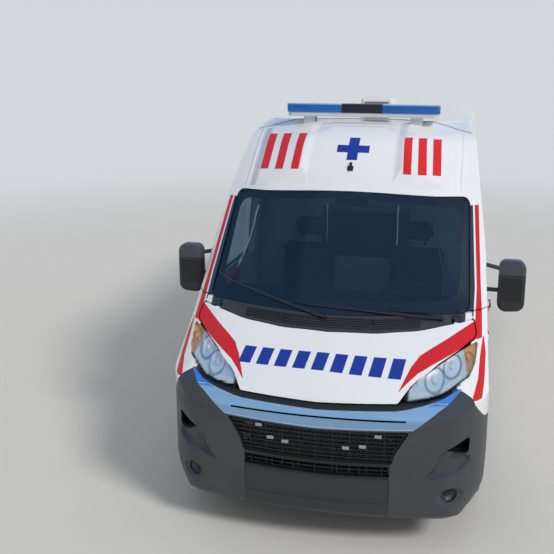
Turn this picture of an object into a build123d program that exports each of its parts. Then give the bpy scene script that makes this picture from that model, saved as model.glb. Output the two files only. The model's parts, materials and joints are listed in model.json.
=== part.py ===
from build123d import *
import os
from math import cos, radians, sin, tan

# A high-roof panel van converted to an ambulance, in millimetres.
# X is across, with +X the driver's side. Y runs rearwards. Z is up, with the tyres on zero.
# Every piece is drawn with y counted from the front axle, and moved to the body's middle when saved.

# driving dimensions
length = 5413
wheelbase = 3450
front_overhang = 948
body_tail = 4415
rear_bumper_reach = length - front_overhang
half_width = 1025
roof_top = 2518
front_track = 1810
rear_track = 1790
tyre_diameter = 682
tyre_width = 215
rim_diameter = 381
wall = 60
panel = 25
glass = 6
glass_inset = 6
shut_line = 8
seat_gap = 0.3
body_bottom = 300
bumper_bottom = 215
floor_top = 540
floor_thickness = 40
scuttle_half = 900
arch_radius = 412
liner_radius = 446
bulkhead_front = 1212
bulkhead_thickness = 30
roof_seam = 2330
cap_joint = 900
pillar_b = 1180
wing_back = 446
post_back = wing_back + 20
post_in = 900

wheel_radius = tyre_diameter / 2
front_axle = front_overhang - length / 2


# outline helpers

def outline(rows, plane):
    """A closed face from rows of across, up and corner radius."""
    corners = []
    for index, (across, up, radius) in enumerate(rows):
        here = Vector(across, up)
        back = (Vector(*rows[index - 1][:2]) - here).normalized()
        ahead = (Vector(*rows[(index + 1) % len(rows)][:2]) - here).normalized()
        half = radians(back.get_angle(ahead)) / 2
        if radius > 0:
            reach = radius / tan(half)
            middle = here + (back + ahead).normalized() * (radius / sin(half) - radius)
            corners.append((here + back * reach, middle, here + ahead * reach))
        else:
            corners.append((here, None, here))
    edges = []
    for index, (start, middle, end) in enumerate(corners):
        if middle is not None:
            edges.append(ThreePointArc(start, middle, end))
        following = corners[(index + 1) % len(corners)][0]
        if (following - end).length > 0.001:
            edges.append(Line(end, following))
    return plane * make_face(edges)


def inset(rows, amount):
    """The same rows moved inwards by an amount, or outwards by a negative one."""
    area = sum(
        rows[i - 1][0] * rows[i][1] - rows[i][0] * rows[i - 1][1] for i in range(len(rows))
    )
    side = 1 if area > 0 else -1
    moved = []
    for index, (across, up, radius) in enumerate(rows):
        here = Vector(across, up)
        back = (here - Vector(*rows[index - 1][:2])).normalized()
        ahead = (Vector(*rows[(index + 1) % len(rows)][:2]) - here).normalized()
        normals = Vector(-back.Y, back.X) * side + Vector(-ahead.Y, ahead.X) * side
        shift = normals * (amount / (1 + back.dot(ahead)))
        bulges = back.cross(ahead).Z * side > 0
        kept = radius - amount if bulges else radius + amount
        place = here + shift
        moved.append((place.X, place.Y, max(kept, 0) if radius > 0 else 0))
    return moved


def both_sides(rows):
    """Rows on the +X side, followed by the same rows mirrored."""
    return rows + [(-across, up, radius) for across, up, radius in reversed(rows) if across > 0]


def from_side(rows, x_low=-1400, x_high=1400):
    """A solid from an outline of y and z, as deep across as asked."""
    return Pos(x_low, 0, 0) * extrude(outline(rows, Plane.YZ), x_high - x_low)


def from_front(rows, y_low=-1200, y_high=5000):
    """A solid from an outline of x and z, running from one y to another."""
    return Pos(0, y_low, 0) * extrude(outline(rows, Plane.XZ), y_low - y_high)


def from_above(rows, z_low, z_high):
    """A solid from an outline of x and y, standing from one z to another."""
    return Pos(0, 0, z_low) * extrude(outline(rows, Plane.XY), z_high - z_low)


def block(x_low, x_high, y_low, y_high, z_low, z_high):
    """A box between two corners."""
    size = Box(x_high - x_low, y_high - y_low, z_high - z_low)
    return Pos((x_low + x_high) / 2, (y_low + y_high) / 2, (z_low + z_high) / 2) * size


def across_rod(x_low, x_high, y, z, radius):
    """A round bar lying across the vehicle."""
    return Pos((x_low + x_high) / 2, y, z) * Rot(0, 90, 0) * Cylinder(radius, x_high - x_low)


def rod(start, end, radius):
    """A round bar from one point to another."""
    path = Vector(*end) - Vector(*start)
    plane = Plane(origin=Vector(*start), z_dir=path)
    return plane * Pos(0, 0, path.length / 2) * Cylinder(radius, path.length)


def mirrored(shape):
    """The same piece on the other side of the vehicle."""
    return mirror(shape, about=Plane.YZ)


os.makedirs("parts", exist_ok=True)
saved = {}


def save(name, shape):
    """Write one piece, moved from the front axle to the body's middle."""
    placed = Pos(0, front_axle, 0) * shape
    export_step(Compound(children=placed.solids()), "parts/" + name + ".step")
    saved[name] = placed


# body envelope
# nose: distance behind the front axle, height, corner radius, up the centre line

nose_rows = [
    (-820, -500, 0),
    (-850, 190, 0),
    (-935, 262, 60),
    (-948.6, 520, 900),
    (-937, 880, 300),
    (-903, 985, 60),
    (-735, 1152, 450),
    (-505, 1290, 400),
    (-415, 1345, 120),
    (-105, 1745, 4000),
    (205, 2090, 500),
    (275, 2190, 350),
    (500, 2405, 600),
    (745, 2508, 500),
    (1500, roof_top + 6, 0),
]
bow_centre = 2700

# section: half width, height, corner radius, seen from the front
section_rows = [
    (985, -500, 0),
    (1003, 250, 200),
    (half_width, 560, 400),
    (half_width, 900, 2500),
    (976, 1700, 3000),
    (862, roof_top, 170),
]

# plan: half width, distance behind the front axle, corner radius
plan_rows = [
    (0, -965, 0),
    (half_width + 1, -850, 400),
    (half_width + 1, body_tail, 70),
]

# shoulder: distance behind the front axle at shoulder_x, height, corner radius
shoulder_x = 950
shoulder_rows = [
    (-1000, -500, 0),
    (-1000, 790, 0),
    (-700, 990, 120),
    (-330, 1270, 150),
    (-95, 1480, 500),
    (353, 1960, 2000),
    (510, 2100, 300),
    (915, 2414, 600),
    (1250, 2505, 0),
    (1500, 2700, 0),
]
shoulder_slopes = [32, 60]
far_back = 12000


def hull(depth, bottom):
    """The body's outer form moved inwards by a depth, down to a given height."""
    closing = [(bow_centre + depth, roof_top + 6, 0), (bow_centre + depth, -500, 0)]
    side_face = outline(inset(nose_rows + closing, depth), Plane.YZ)
    bow_axis = Axis((0, bow_centre, 0), (0, 0, 1))
    dome = revolve(side_face.rotate(bow_axis, 90), bow_axis, revolution_arc=-180)
    section = outline(inset(both_sides(section_rows), depth), Plane.XZ)
    tube = extrude(section, 6000, both=True)
    plan = from_above(inset(both_sides(plan_rows), depth), bottom, roof_top + 200)
    front = dome & tube & plan
    back = tube & plan & block(-1300, 1300, bow_centre, 6000, 0, 3000)
    whole = front + back
    far_edge = [(far_back, 2700, 0), (far_back, -500, 0)]
    face = outline(inset(shoulder_rows + far_edge, depth), Plane.YZ)
    for slope in shoulder_slopes:
        lean = radians(slope)
        start = Pos(shoulder_x - depth + 150, 150 * tan(lean), 0) * face
        inwards = Vector(-cos(lean), -sin(lean), 0)
        cutter = extrude(start, amount=2 * (half_width + 150) / cos(lean), dir=inwards)
        whole = whole & cutter & mirrored(cutter)
    return whole


outer = hull(0, bumper_bottom)
inner = hull(wall, 100)
under_panel = hull(panel, 100)
body_skin = outer - inner
panel_skin = outer - under_panel
glass_skin = hull(glass_inset, 100) - hull(glass_inset + glass, 90)

left_half = block(0, 1400, -1200, 5000, 0, 3000)
right_half = mirrored(left_half)


# outlines of the panels

# seen from the front: half width, height, corner radius
bonnet_edge = [
    (0, 968, 0),
    (484, 984, 15),
    (560, 1072, 150),
    (700, 1157, 250),
    (822, 1206, 120),
    (930, 1262, 30),
    (908, 1346, 25),
]
glass_low_edge = 1349
scuttle_low = 1200
# seen from above, the bonnet's rear edge: half width, distance behind the front axle, corner radius
bonnet_rear_rows = [
    (0, -1300, 0),
    (1200, -1300, 0),
    (1200, -100, 0),
    (908, -278, 0),
    (850, -315, 200),
    (578, -442, 600),
    (300, -508, 600),
    (0, -527, 0),
]
lamp_rows = [
    (500, 992, 12),
    (655, 1003, 150),
    (757, 1029, 150),
    (839, 1060, 100),
    (897, 1084, 25),
    (928, 1136, 60),
    (944, 1240, 12),
    (821, 1196, 200),
    (700, 1147, 250),
    (616, 1106, 100),
    (556, 1056, 80),
]
bumper_rows = [
    (0, 100, 0),
    (1100, 100, 0),
    (1100, 792, 0),
    (1000, 852, 60),
    (952, 938, 30),
    (884, 1068, 12),
    (842, 1051, 60),
    (757, 1020, 80),
    (652, 994, 60),
    (500, 983, 15),
    (480, 974, 8),
    (0, 960, 0),
]
chrome_rows = [
    (0, 926, 0),
    (500, 943, 500),
    (675, 985, 300),
    (858, 1044, 4),
    (846, 1028, 10),
    (735, 950, 200),
    (583, 829, 15),
    (0, 812, 0),
]
chrome_slot = (540, 878, 889)
grille_rows = [
    (0, 806, 0),
    (566, 819, 10),
    (480, 675, 200),
    (462, 604, 20),
    (0, 600, 0),
]
low_grille_rows = [
    (0, 588, 0),
    (452, 590, 10),
    (452, 524, 10),
    (0, 520, 0),
]
side_intake_rows = [
    (754, 694, 15),
    (918, 776, 15),
    (914, 652, 30),
]
fog_lamp = (812, 396, 46)
windscreen_rows = [
    (0, glass_low_edge, 0),
    (884, 1378, 40),
    (852, 2038, 60),
    (0, 2082, 6000),
]
rear_door_rows = [
    (0, 512, 0),
    (905, 512, 30),
    (900, 1150, 600),
    (858, 1750, 900),
    (800, 2320, 60),
    (0, 2320, 0),
]
rear_glass_rows = [
    (110, 1340, 50),
    (770, 1340, 60),
    (735, 1930, 60),
    (110, 1930, 50),
]
tail_lamp_rows = [
    (928, 900, 12),
    (1100, 900, 0),
    (1100, 1520, 0),
    (905, 1520, 12),
]

# seen from the side: distance behind the front axle, height, corner radius
front_door_rows = [
    (455, 470, 40),
    (455, 752, 170),
    (112, 1048, 150),
    (112, 1392, 30),
    (465, 1990, 70),
    (1142, 2000, 60),
    (1142, 470, 40),
]
door_window_rows = [
    (190, 1378, 40),
    (500, 1928, 60),
    (1082, 1938, 50),
    (1082, 1378, 60),
]
sliding_door_rows = [
    (1232, 420, 40),
    (2500, 420, 40),
    (2500, 2240, 60),
    (1232, 2240, 60),
]
side_window_rows = [
    (1340, 1400, 60),
    (1340, 1940, 60),
    (2390, 1940, 60),
    (2390, 1400, 60),
]
slide_groove, slide_level, slide_width = 14, 1085, 30
slide_run = (2560, 3680)
cap_rows = [
    (100, 2126, 0),
    (215, 2126, 60),
    (345, 2066, 60),
    (pillar_b, 2062, 0),
    (pillar_b, roof_seam, 0),
    (cap_joint, roof_seam, 0),
    (cap_joint, 2700, 0),
    (100, 2700, 0),
]
frame_rows = [
    (-400, 1392, 0),
    (-400, 2126, 0),
    (215, 2126, 60),
    (345, 2066, 60),
    (pillar_b, 2062, 0),
    (pillar_b, body_bottom, 0),
    (wing_back + seat_gap, body_bottom, 0),
    (wing_back + seat_gap, 1392, 0),
]
hinge_post_rows = [
    (30, 1392, 0),
    (post_back, 1392, 0),
    (post_back, body_bottom, 0),
    (330, body_bottom, 0),
    (330, 700, 0),
    (30, 800, 0),
]
wing_rows = [
    (-1000, 1384, 0),
    (105, 1384, 0),
    (105, 1044, 150),
    (wing_back, 748, 170),
    (wing_back, body_bottom, 0),
    (-200, body_bottom, 0),
    (-330, 700, 0),
    (-1000, 700, 0),
]
side_panel_rows = [
    (pillar_b, body_bottom, 0),
    (3700, body_bottom, 200),
    (4600, 420, 0),
    (4600, roof_seam, 0),
    (pillar_b, roof_seam, 0),
]


def front_view(rows, amount=0, y_low=-1200, y_high=450):
    """A solid through the body's front from an outline mirrored left and right."""
    return from_front(inset(both_sides(rows), amount), y_low, y_high)


def wheel_well(centre, radius, x_low, x_high):
    """A round space about an axle, as wide as asked, on both sides."""
    well = across_rod(x_low, x_high, centre, wheel_radius, radius)
    return well + mirrored(well)


windscreen_opening = front_view(windscreen_rows)
bonnet_rows = bonnet_edge + [(0, bonnet_edge[-1][1], 0)]
bonnet_space = front_view(bonnet_rows, -shut_line)
bonnet_front = from_above(both_sides(bonnet_rear_rows), scuttle_low - 400, 1500)
before_scuttle = from_above(inset(both_sides(bonnet_rear_rows), -shut_line), 0, 1500)
lamp_form = from_front(lamp_rows, -1200, 450)
lamp_space = from_front(inset(lamp_rows, -seat_gap), -1200, 450)
lamp_space += mirrored(lamp_space)
chrome_space = front_view(chrome_rows, -seat_gap)
bumper_form = front_view(bumper_rows, 0, -1200, -330)
bumper_space = front_view(bumper_rows, -seat_gap, -1200, -330)
front_arches = wheel_well(0, arch_radius, 700, 1300)
rear_arches = wheel_well(wheelbase, arch_radius, 700, 1300)
front_liner_space = wheel_well(0, liner_radius + 2, 598, 1300)
front_door_space = from_side(inset(front_door_rows, -shut_line))
rear_door_space = from_front(inset(both_sides(rear_door_rows), 0), 4330, 4600)


# front end

bonnet = panel_skin & front_view(bonnet_rows) & bonnet_front
bumper = (panel_skin & bumper_form) - front_arches - chrome_space
bumper -= front_view(grille_rows) + front_view(low_grille_rows)
for side in (1, -1):
    intake = [(side * across, up, radius) for across, up, radius in side_intake_rows]
    bumper -= from_front(intake, -1200, -330)
    across, up, radius = fog_lamp
    bumper -= Pos(side * across, -800, up) * Rot(90, 0, 0) * Cylinder(radius, 400)
save("front_bumper", bumper)

slot_reach, slot_low, slot_high = chrome_slot
chrome = (panel_skin & front_view(chrome_rows)) - block(
    -slot_reach, slot_reach, -1200, 0, slot_low, slot_high
)
save("chrome_bars", chrome)

across, up, radius = fog_lamp
fog = glass_skin & (Pos(across, -800, up) * Rot(90, 0, 0) * Cylinder(radius - seat_gap, 400))
lamps = body_skin & (lamp_form + mirrored(lamp_form))
lamp_solids = lamps.solids() + fog.solids() + mirrored(fog).solids()
save("headlamps", Compound(children=lamp_solids))

wings = (panel_skin & from_side(wing_rows)) - bonnet_space - lamp_space - bumper_space
wings = wings - front_arches - front_door_space
wings -= block(-scuttle_half, scuttle_half, -600, 0, 1200, 1500)
wings -= [block(-500, 500, -1200, 500, 0, 3000), block(-845, 845, -1200, -430, 0, 3000)]

scuttle_rows = [
    (0, scuttle_low, 0),
    (scuttle_half - 1, scuttle_low, 0),
    (scuttle_half - 1, 1378, 0),
    (884, 1378, 0),
    (0, glass_low_edge, 0),
]
scuttle = (panel_skin & front_view(scuttle_rows, seat_gap, -700, 0)) - before_scuttle

windscreen = glass_skin & front_view(windscreen_rows, seat_gap)
save("windscreen", windscreen)

# grille mesh: slats and uprights between two depths, inside a thin rim
grille_depth = 20
grille_thickness = 14
grille_rim = 12
slat_pitch = 27
slat = 7
upright_pitch = 104
upright = 5
grille_front = hull(grille_depth, 100)
grille_back = hull(grille_depth + grille_thickness, 90)


def mesh(rows, first_slat, slats, uprights):
    """Crossed slats filling an outline, within a thin rim."""
    space = front_view(rows, seat_gap)
    bars = []
    for index in range(slats):
        level = first_slat + index * slat_pitch
        bars.append(block(-600, 600, -1200, -700, level, level + slat))
    for index in range(uprights):
        column = (index - (uprights - 1) / 2) * upright_pitch
        bars.append(block(column - upright / 2, column + upright / 2, -1200, -700, 400, 900))
    crossed = bars[0] + bars[1:]
    solid = (space - front_view(rows, grille_rim)) + (crossed & space)
    return (grille_front & solid) - grille_back


save("grille", mesh(grille_rows, 627, 7, 9) + mesh(low_grille_rows, 552, 1, 7))

# wipers: arm and blade lying in the recess in front of the windscreen, seen from the front
# across and height at the pivot, at the blade's middle, and at the blade's two ends
wiper_places = [
    ((-40, 1335), (-560, 1448), (-855, 1512), (-290, 1392)),
    ((700, 1350), (130, 1388), (-370, 1403), (620, 1380)),
]


def strip(start, end, width):
    """A straight bar seen from the front, through the body's nose."""
    along = (Vector(*end) - Vector(*start)).normalized()
    across = Vector(-along.Y, along.X) * (width / 2)
    corners = [Vector(*start) + across, Vector(*start) - across]
    corners += [Vector(*end) - across, Vector(*end) + across]
    return from_front([(corner.X, corner.Y, 0) for corner in corners], -1200, 450)


bars = []
for pivot, middle, tip, tail in wiper_places:
    bars += [strip(pivot, middle, 16), strip(tip, tail, 20)]
wiper_recess = windscreen_opening - hull(glass_inset - seat_gap, 90)
wipers = (bars[0] + bars[1:]) & wiper_recess & outer
save("wipers", wipers)


# cab shell

frame = body_skin & from_side(frame_rows)
frame = frame - windscreen_opening
hinge_posts = under_panel & from_side(hinge_post_rows)
hinge_posts -= block(-post_in, post_in, -1200, 1200, 0, 3000)
frame = (frame + (hinge_posts - front_liner_space)) - front_door_space - front_liner_space
save("cab_frame", frame)

cap = body_skin & from_side(cap_rows)
save("roof_cap", cap)

roof = body_skin & block(-1300, 1300, cap_joint, 5000, roof_seam, 3000)
save("roof", roof)

floor_low = floor_top - floor_thickness
rail_in, rail_out = 430, 500
rail_low, front_rail_low, front_rail_top = 380, 440, 560
rail_front = -800
cab_floor_top = 600
firewall_rows = [
    (330, front_rail_top, 0),
    (330, cab_floor_top, 0),
    (112, 900, 0),
    (112, 1302, 0),
    (86, 1302, 0),
    (86, 890, 0),
    (296, front_rail_top, 0),
]
cab_floor = block(-1100, 1100, 325, pillar_b, front_rail_top, cab_floor_top)
cab_floor += from_side(firewall_rows, -1100, 1100)
cab_floor = (cab_floor & inner) - front_liner_space
post_space = block(post_in - seat_gap, 1100, -500, post_back + seat_gap, 0, 1393)
cab_floor -= [post_space, mirrored(post_space)]
for side in (1, -1):
    low, high = sorted((side * rail_in, side * rail_out))
    cab_floor += block(low, high, rail_front, pillar_b, front_rail_low, front_rail_top)
save("cab_floor", cab_floor)

house_in = 711
house_reach = liner_radius + 24
floor = block(-1100, 1100, pillar_b, 5000, floor_low, floor_top)
for side in (1, -1):
    low, high = sorted((side * house_in, side * 1100))
    floor += block(
        low, high, wheelbase - house_reach, wheelbase + house_reach, floor_low, 341 + house_reach
    )
floor = floor & inner
floor -= wheel_well(wheelbase, liner_radius, house_in + 20, 1300)
spring_in, spring_out = 540, 600
eye_front, eye_rear, eye_height = wheelbase - 630, wheelbase + 630, 430
for side in (1, -1):
    low, high = sorted((side * rail_in, side * rail_out))
    floor += block(low, high, pillar_b, body_tail - wall - 1, rail_low, floor_low)
    low, high = sorted((side * rail_out, side * spring_out))
    for eye in (eye_front, eye_rear):
        floor += block(low, high, eye - 35, eye + 35, eye_height, floor_low)
cross_members = [1400, 2300, 2900, 4200]
cross_half, cross_low = 30, rail_low + 20
for cross in cross_members:
    floor += block(-rail_in, rail_in, cross - cross_half, cross + cross_half, cross_low, floor_low)
towbar_bolt_radius, towbar_bolt_depth = 6.5, 30
towbar_bolt_places = [4220, 4320]
for place in towbar_bolt_places:
    hole = Pos((rail_in + rail_out) / 2, place, rail_low + towbar_bolt_depth / 2)
    hole = hole * Cylinder(towbar_bolt_radius, towbar_bolt_depth)
    floor -= [hole, mirrored(hole)]
save("floor", floor)

bulkhead = block(
    -1100, 1100, bulkhead_front, bulkhead_front + bulkhead_thickness, floor_top, 3000
) & inner
bulkhead_window_rows = [(-380, 1340, 60), (380, 1340, 60), (380, 1800, 60), (-380, 1800, 60)]
bulkhead -= from_front(bulkhead_window_rows, 1000, 1400)
save("bulkhead", bulkhead)

side_panels = body_skin & from_side(side_panel_rows)
side_panels = side_panels - rear_arches - rear_door_space
tail_lamp_space = from_front(inset(tail_lamp_rows, -seat_gap), 4300, 4600)
tail_lamp_space += mirrored(tail_lamp_space)
side_panels -= tail_lamp_space
window_space = from_side(side_window_rows)
left_panel = (side_panels & left_half) - window_space
right_panel = (side_panels & right_half) - from_side(inset(sliding_door_rows, -shut_line))
slide_space = block(-1400, slide_groove - half_width, *slide_run, slide_level, slide_level + slide_width)
right_panel -= slide_space

sliding_door = body_skin & from_side(sliding_door_rows) & right_half
sliding_door -= window_space
side_glass = glass_skin & from_side(inset(side_window_rows, seat_gap))
bulkhead_glass = from_front(inset(bulkhead_window_rows, seat_gap), bulkhead_front + 12, 1230)
save("side_glass", Compound(children=side_glass.solids() + bulkhead_glass.solids()))

tail_form = from_front(tail_lamp_rows, 4300, 4600)
tail_lamps = body_skin & (tail_form + mirrored(tail_form))
save("tail_lamps", tail_lamps)

bumper_plan = [
    (0, body_tail + seat_gap, 0),
    (990, body_tail + seat_gap, 0),
    (975, rear_bumper_reach, 30),
    (0, rear_bumper_reach, 0),
]
rear_bumper = from_above(both_sides(bumper_plan), 372, 500)
save("rear_bumper", rear_bumper)


# doors and their hinges

# grip: height, distance behind the front axle at its front and rear ends
grip_height = 1050
front_grip, sliding_grip = (985, 1115), (1262, 1392)
grip_high, grip_thick, grip_reach = 34, 14, 38
grip_root = 26


def side_grip(place):
    """A bar handle on two feet, standing off the vehicle's left side."""
    start, end = place
    low, high = grip_height - grip_high / 2, grip_height + grip_high / 2
    face = half_width + grip_reach
    bar = block(face - grip_thick, face, start, end, low, high)
    bar = fillet(bar.edges().filter_by(Axis.Y), 6)
    feet = [
        block(1000, face - 4, start, start + grip_root, low + 4, high - 4),
        block(1000, face - 4, end - grip_root, end, low + 4, high - 4),
    ]
    return (bar + feet) - inner


pin_radius, knuckle_radius = 6, 9
hinge_half = 34
front_hinge = (1037, 108, 760)
front_hinge_lean = (-30, 0, 540)
front_hinge_heights = (1110, 1320)
rear_hinge = (918, body_tail + 9, 700)
rear_hinge_heights = (700, 1640)
bonnet_hinge = (800, -300, 1352)
door_split = 5


def on_line(point, lean, height):
    """The place on a leaning hinge axis at a height."""
    share = (height - point[2]) / lean[2]
    return Vector(*point) + Vector(*lean) * share


def hinge(point, lean, height):
    """The fixed half with its pin, the moving half, and the space they need."""
    low, middle, high = (
        on_line(point, lean, height + step) for step in (-hinge_half, 0, hinge_half)
    )
    fixed = rod(low, middle, knuckle_radius) + rod(low, high, pin_radius)
    just_above = on_line(point, lean, height + seat_gap)
    moving = rod(just_above, high, knuckle_radius) - rod(low, high, pin_radius + seat_gap)
    space = rod(low - Vector(0, 0, 4), high + Vector(0, 0, 4), knuckle_radius + 3)
    return fixed, moving, space, rod(low, high, pin_radius + seat_gap)


doors = (body_skin & from_side(front_door_rows)) - from_side(door_window_rows)
left_door = (doors & left_half) + side_grip(front_grip)
left_wing = wings & left_half
for height in front_hinge_heights:
    fixed, moving, space, bore = hinge(front_hinge, front_hinge_lean, height)
    x, y, z = on_line(front_hinge, front_hinge_lean, height)
    bracket = block(x - 24, x + 3, y - 46, y, z - 30, z - 5)
    leaf = block(x - 24, x + 3, y, y + 46, z + 5, z + 30) - bore
    left_wing = (left_wing - space) + [fixed, bracket]
    left_door = (left_door - space) + [moving, leaf]
save("sliding_door", sliding_door + mirrored(side_grip(sliding_grip)))
save("front_door_left", left_door)
save("front_door_right", mirrored(left_door))
save("wings", left_wing + mirrored(left_wing))
door_glass = glass_skin & from_side(inset(door_window_rows, seat_gap))
save("front_door_glass_left", door_glass & left_half)
save("front_door_glass_right", door_glass & right_half)

rear_door_half = inset(both_sides(rear_door_rows), shut_line)
rear_doors = body_skin & from_front(rear_door_half, body_tail - wall - 10, 4600)
left_rear = rear_doors & block(door_split, 1400, 4300, 4600, 0, 3000)
left_rear -= from_front(rear_glass_rows, 4300, 4600)
left_post = left_panel
right_post = right_panel
for height in rear_hinge_heights:
    fixed, moving, space, bore = hinge(rear_hinge, (0, 0, 1), height)
    x, y, z = rear_hinge[0], rear_hinge[1], height
    bracket = block(x, x + 34, body_tail - 40, y + 4, z - 30, z - 5)
    leaf = block(x - 90, x, body_tail, y + 6, z + 5, z + 30) - bore
    leaf += block(x - 96, x - 60, body_tail - 5, y + 6, z + 5, z + 30)
    left_post = left_post + [fixed, bracket]
    right_post = right_post + [mirrored(fixed), mirrored(bracket)]
    left_rear = left_rear + [moving, leaf]
save("side_panel_left", left_post)
save("side_panel_right", right_post)
save("rear_door_left", left_rear)
save("rear_door_right", mirrored(left_rear))
left_rear_glass = glass_skin & from_front(inset(rear_glass_rows, seat_gap), 4300, 4600)
save("rear_door_glass_left", left_rear_glass)
save("rear_door_glass_right", mirrored(left_rear_glass))

x, y, z = bonnet_hinge
tongue = block(x - 13, x + 13, y - 56, y, z - 56, z - 4)
tongue = (tongue + across_rod(x - 13, x + 13, y, z, knuckle_radius)) & outer
tongue -= across_rod(x - 20, x + 20, y, z, pin_radius + seat_gap)
pivot = across_rod(x - 26, x + 26, y, z, pin_radius)
ear = block(x + 14, x + 26, y - 8, y + 40, z - 20, z + 6)
notch = block(x - 28, x + 28, y - 60, y + 14, z - 70, z + 60)
scuttle = scuttle - notch - mirrored(notch)
for piece in (pivot, ear):
    scuttle = scuttle + [piece, mirrored(piece)]
bonnet = bonnet + [tongue, mirrored(tongue)]
save("scuttle", scuttle)
save("bonnet", bonnet)

# mirror arm: height, distance behind the front axle at the door
mirror_arms = [(1425, 172), (1578, 262)]
mirror_rows = [(1068, 1275, 60), (1252, 1290, 60), (1252, 1645, 60), (1072, 1645, 50)]
mirror_front, mirror_back = 110, 215
mirror_edge = 28
left_mirror = from_front(mirror_rows, mirror_front, mirror_back)
left_mirror = fillet(left_mirror.edges(), mirror_edge)
arms = [rod((982, root, height), (1090, 165, height), 15) for height, root in mirror_arms]
left_mirror = (left_mirror + arms) - outer
save("mirror_left", left_mirror)
save("mirror_right", mirrored(left_mirror))


# running gear

kingpin_low = Vector(800, 0, 235)
kingpin_high = Vector(655, 0, 950)
kingpin = (kingpin_high - kingpin_low).normalized()
rim_offset = 55


def on_kingpin(height):
    """The place on the left kingpin at a height."""
    return kingpin_low + (kingpin_high - kingpin_low) * ((height - 235) / (950 - 235))


hub_x = front_track / 2 + rim_offset - seat_gap
knuckle_low, knuckle_high = 284, 500
knuckle = rod(on_kingpin(knuckle_low), on_kingpin(knuckle_high), 32)
knuckle += across_rod(on_kingpin(wheel_radius).X, hub_x, 0, wheel_radius, 34)
knuckle += across_rod(hub_x - 14, hub_x, 0, wheel_radius, 62)
knuckle += rod(on_kingpin(315), (735, 120, 315), 14)
save("knuckle_left", knuckle)
save("knuckle_right", mirrored(knuckle))

subframe = block(-rail_out, rail_out, -70, 70, 345, front_rail_low)
for side in (1, -1):
    tip = on_kingpin(knuckle_low - seat_gap)
    ball = on_kingpin(225)
    foot = on_kingpin(knuckle_high + seat_gap)
    head = on_kingpin(925)
    low = (side * ball.X, 0, ball.Z)
    subframe += rod((side * 460, -60, 370), low, 20)
    subframe += rod((side * 460, 60, 370), low, 20)
    subframe += rod(low, (side * tip.X, 0, tip.Z), 20)
    subframe += rod((side * foot.X, 0, foot.Z), (side * head.X, 0, head.Z), 28)
    subframe += block(*sorted((side * 500, side * 700)), -60, 60, 925, 965)
    subframe += block(*sorted((side * 500, side * 560)), -60, 60, 400, 965)
save("front_subframe", subframe)

leaf_rows = [
    (eye_front - 30, eye_height, 0),
    (eye_front + 30, eye_height, 60),
    (wheelbase, 348, 1500),
    (eye_rear - 30, eye_height, 60),
    (eye_rear + 30, eye_height, 0),
    (eye_rear + 30, eye_height - 16, 0),
    (eye_rear - 30, eye_height - 18, 60),
    (wheelbase, 322, 1500),
    (eye_front + 30, eye_height - 18, 60),
    (eye_front - 30, eye_height - 16, 0),
]
rear_hub = rear_track / 2 + rim_offset - seat_gap
beam_height = 300
rear_axle = across_rod(-700, 700, wheelbase, beam_height, 36)
for side in (1, -1):
    low, high = sorted((side * spring_in, side * spring_out))
    rear_axle += from_side(leaf_rows, low, high)
    rear_axle += block(low, high, wheelbase - 50, wheelbase + 50, beam_height, 372)
    low, high = sorted((side * 680, side * 712))
    rear_axle += block(low, high, wheelbase - 45, wheelbase + 45, 255, 400)
    low, high = sorted((side * 690, side * rear_hub))
    rear_axle += across_rod(low, high, wheelbase, wheel_radius, 34)
    low, high = sorted((side * (rear_hub - 14), side * rear_hub))
    rear_axle += across_rod(low, high, wheelbase, wheel_radius, 62)
save("rear_axle", rear_axle)

rim_radius = rim_diameter / 2
bead_half = 80
rim_rows = [
    (-86, rim_radius + 12, 3),
    (-bead_half, rim_radius + 12, 3),
    (-bead_half, rim_radius - seat_gap, 3),
    (-58, rim_radius - seat_gap, 4),
    (-46, rim_radius - 14, 6),
    (40, rim_radius - 14, 6),
    (58, rim_radius - seat_gap, 4),
    (bead_half, rim_radius - seat_gap, 3),
    (bead_half, rim_radius + 12, 3),
    (86, rim_radius + 12, 3),
    (86, rim_radius - 8, 5),
    (60, rim_radius - 10, 6),
    (34, rim_radius - 26, 10),
    (34, 130, 12),
    (62, 95, 14),
    (62, 40, 6),
    (74, 34, 6),
    (74, 0, 0),
    (rim_offset, 0, 0),
    (rim_offset, 92, 10),
    (26, 130, 14),
    (26, rim_radius - 22, 6),
    (-86, rim_radius - 22, 3),
]
bead_out = bead_half - seat_gap
tyre_rows = [
    (-bead_out, rim_radius, 3),
    (-bead_out, rim_radius + 14, 4),
    (-tyre_width / 2, rim_radius + 50, 35),
    (-tyre_width / 2, wheel_radius - 44, 40),
    (-tyre_width / 2 + 12, wheel_radius, 26),
    (tyre_width / 2 - 12, wheel_radius, 26),
    (tyre_width / 2, wheel_radius - 44, 40),
    (tyre_width / 2, rim_radius + 50, 35),
    (bead_out, rim_radius + 14, 4),
    (bead_out, rim_radius, 3),
]


def turned(rows):
    """A solid of revolution about the wheel's own axis, from rows of across and radius."""
    return revolve(outline(rows, Plane.XZ), Axis.X)


rim = turned(rim_rows)
vents = [
    Rot(angle, 0, 0) * Pos(30, 0, 146) * Rot(0, 90, 0) * Cylinder(13, 40)
    for angle in range(0, 360, 30)
]
rim = rim - vents
tyre = turned(tyre_rows)
stations = {
    "front": (front_track / 2, 0),
    "rear": (rear_track / 2, wheelbase),
}
for name, (offset, place) in stations.items():
    save("rim_" + name + "_left", Pos(offset, place, wheel_radius) * rim)
    save("rim_" + name + "_right", mirrored(Pos(offset, place, wheel_radius) * rim))
    save("tyre_" + name + "_left", Pos(offset, place, wheel_radius) * tyre)
    save("tyre_" + name + "_right", mirrored(Pos(offset, place, wheel_radius) * tyre))

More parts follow.
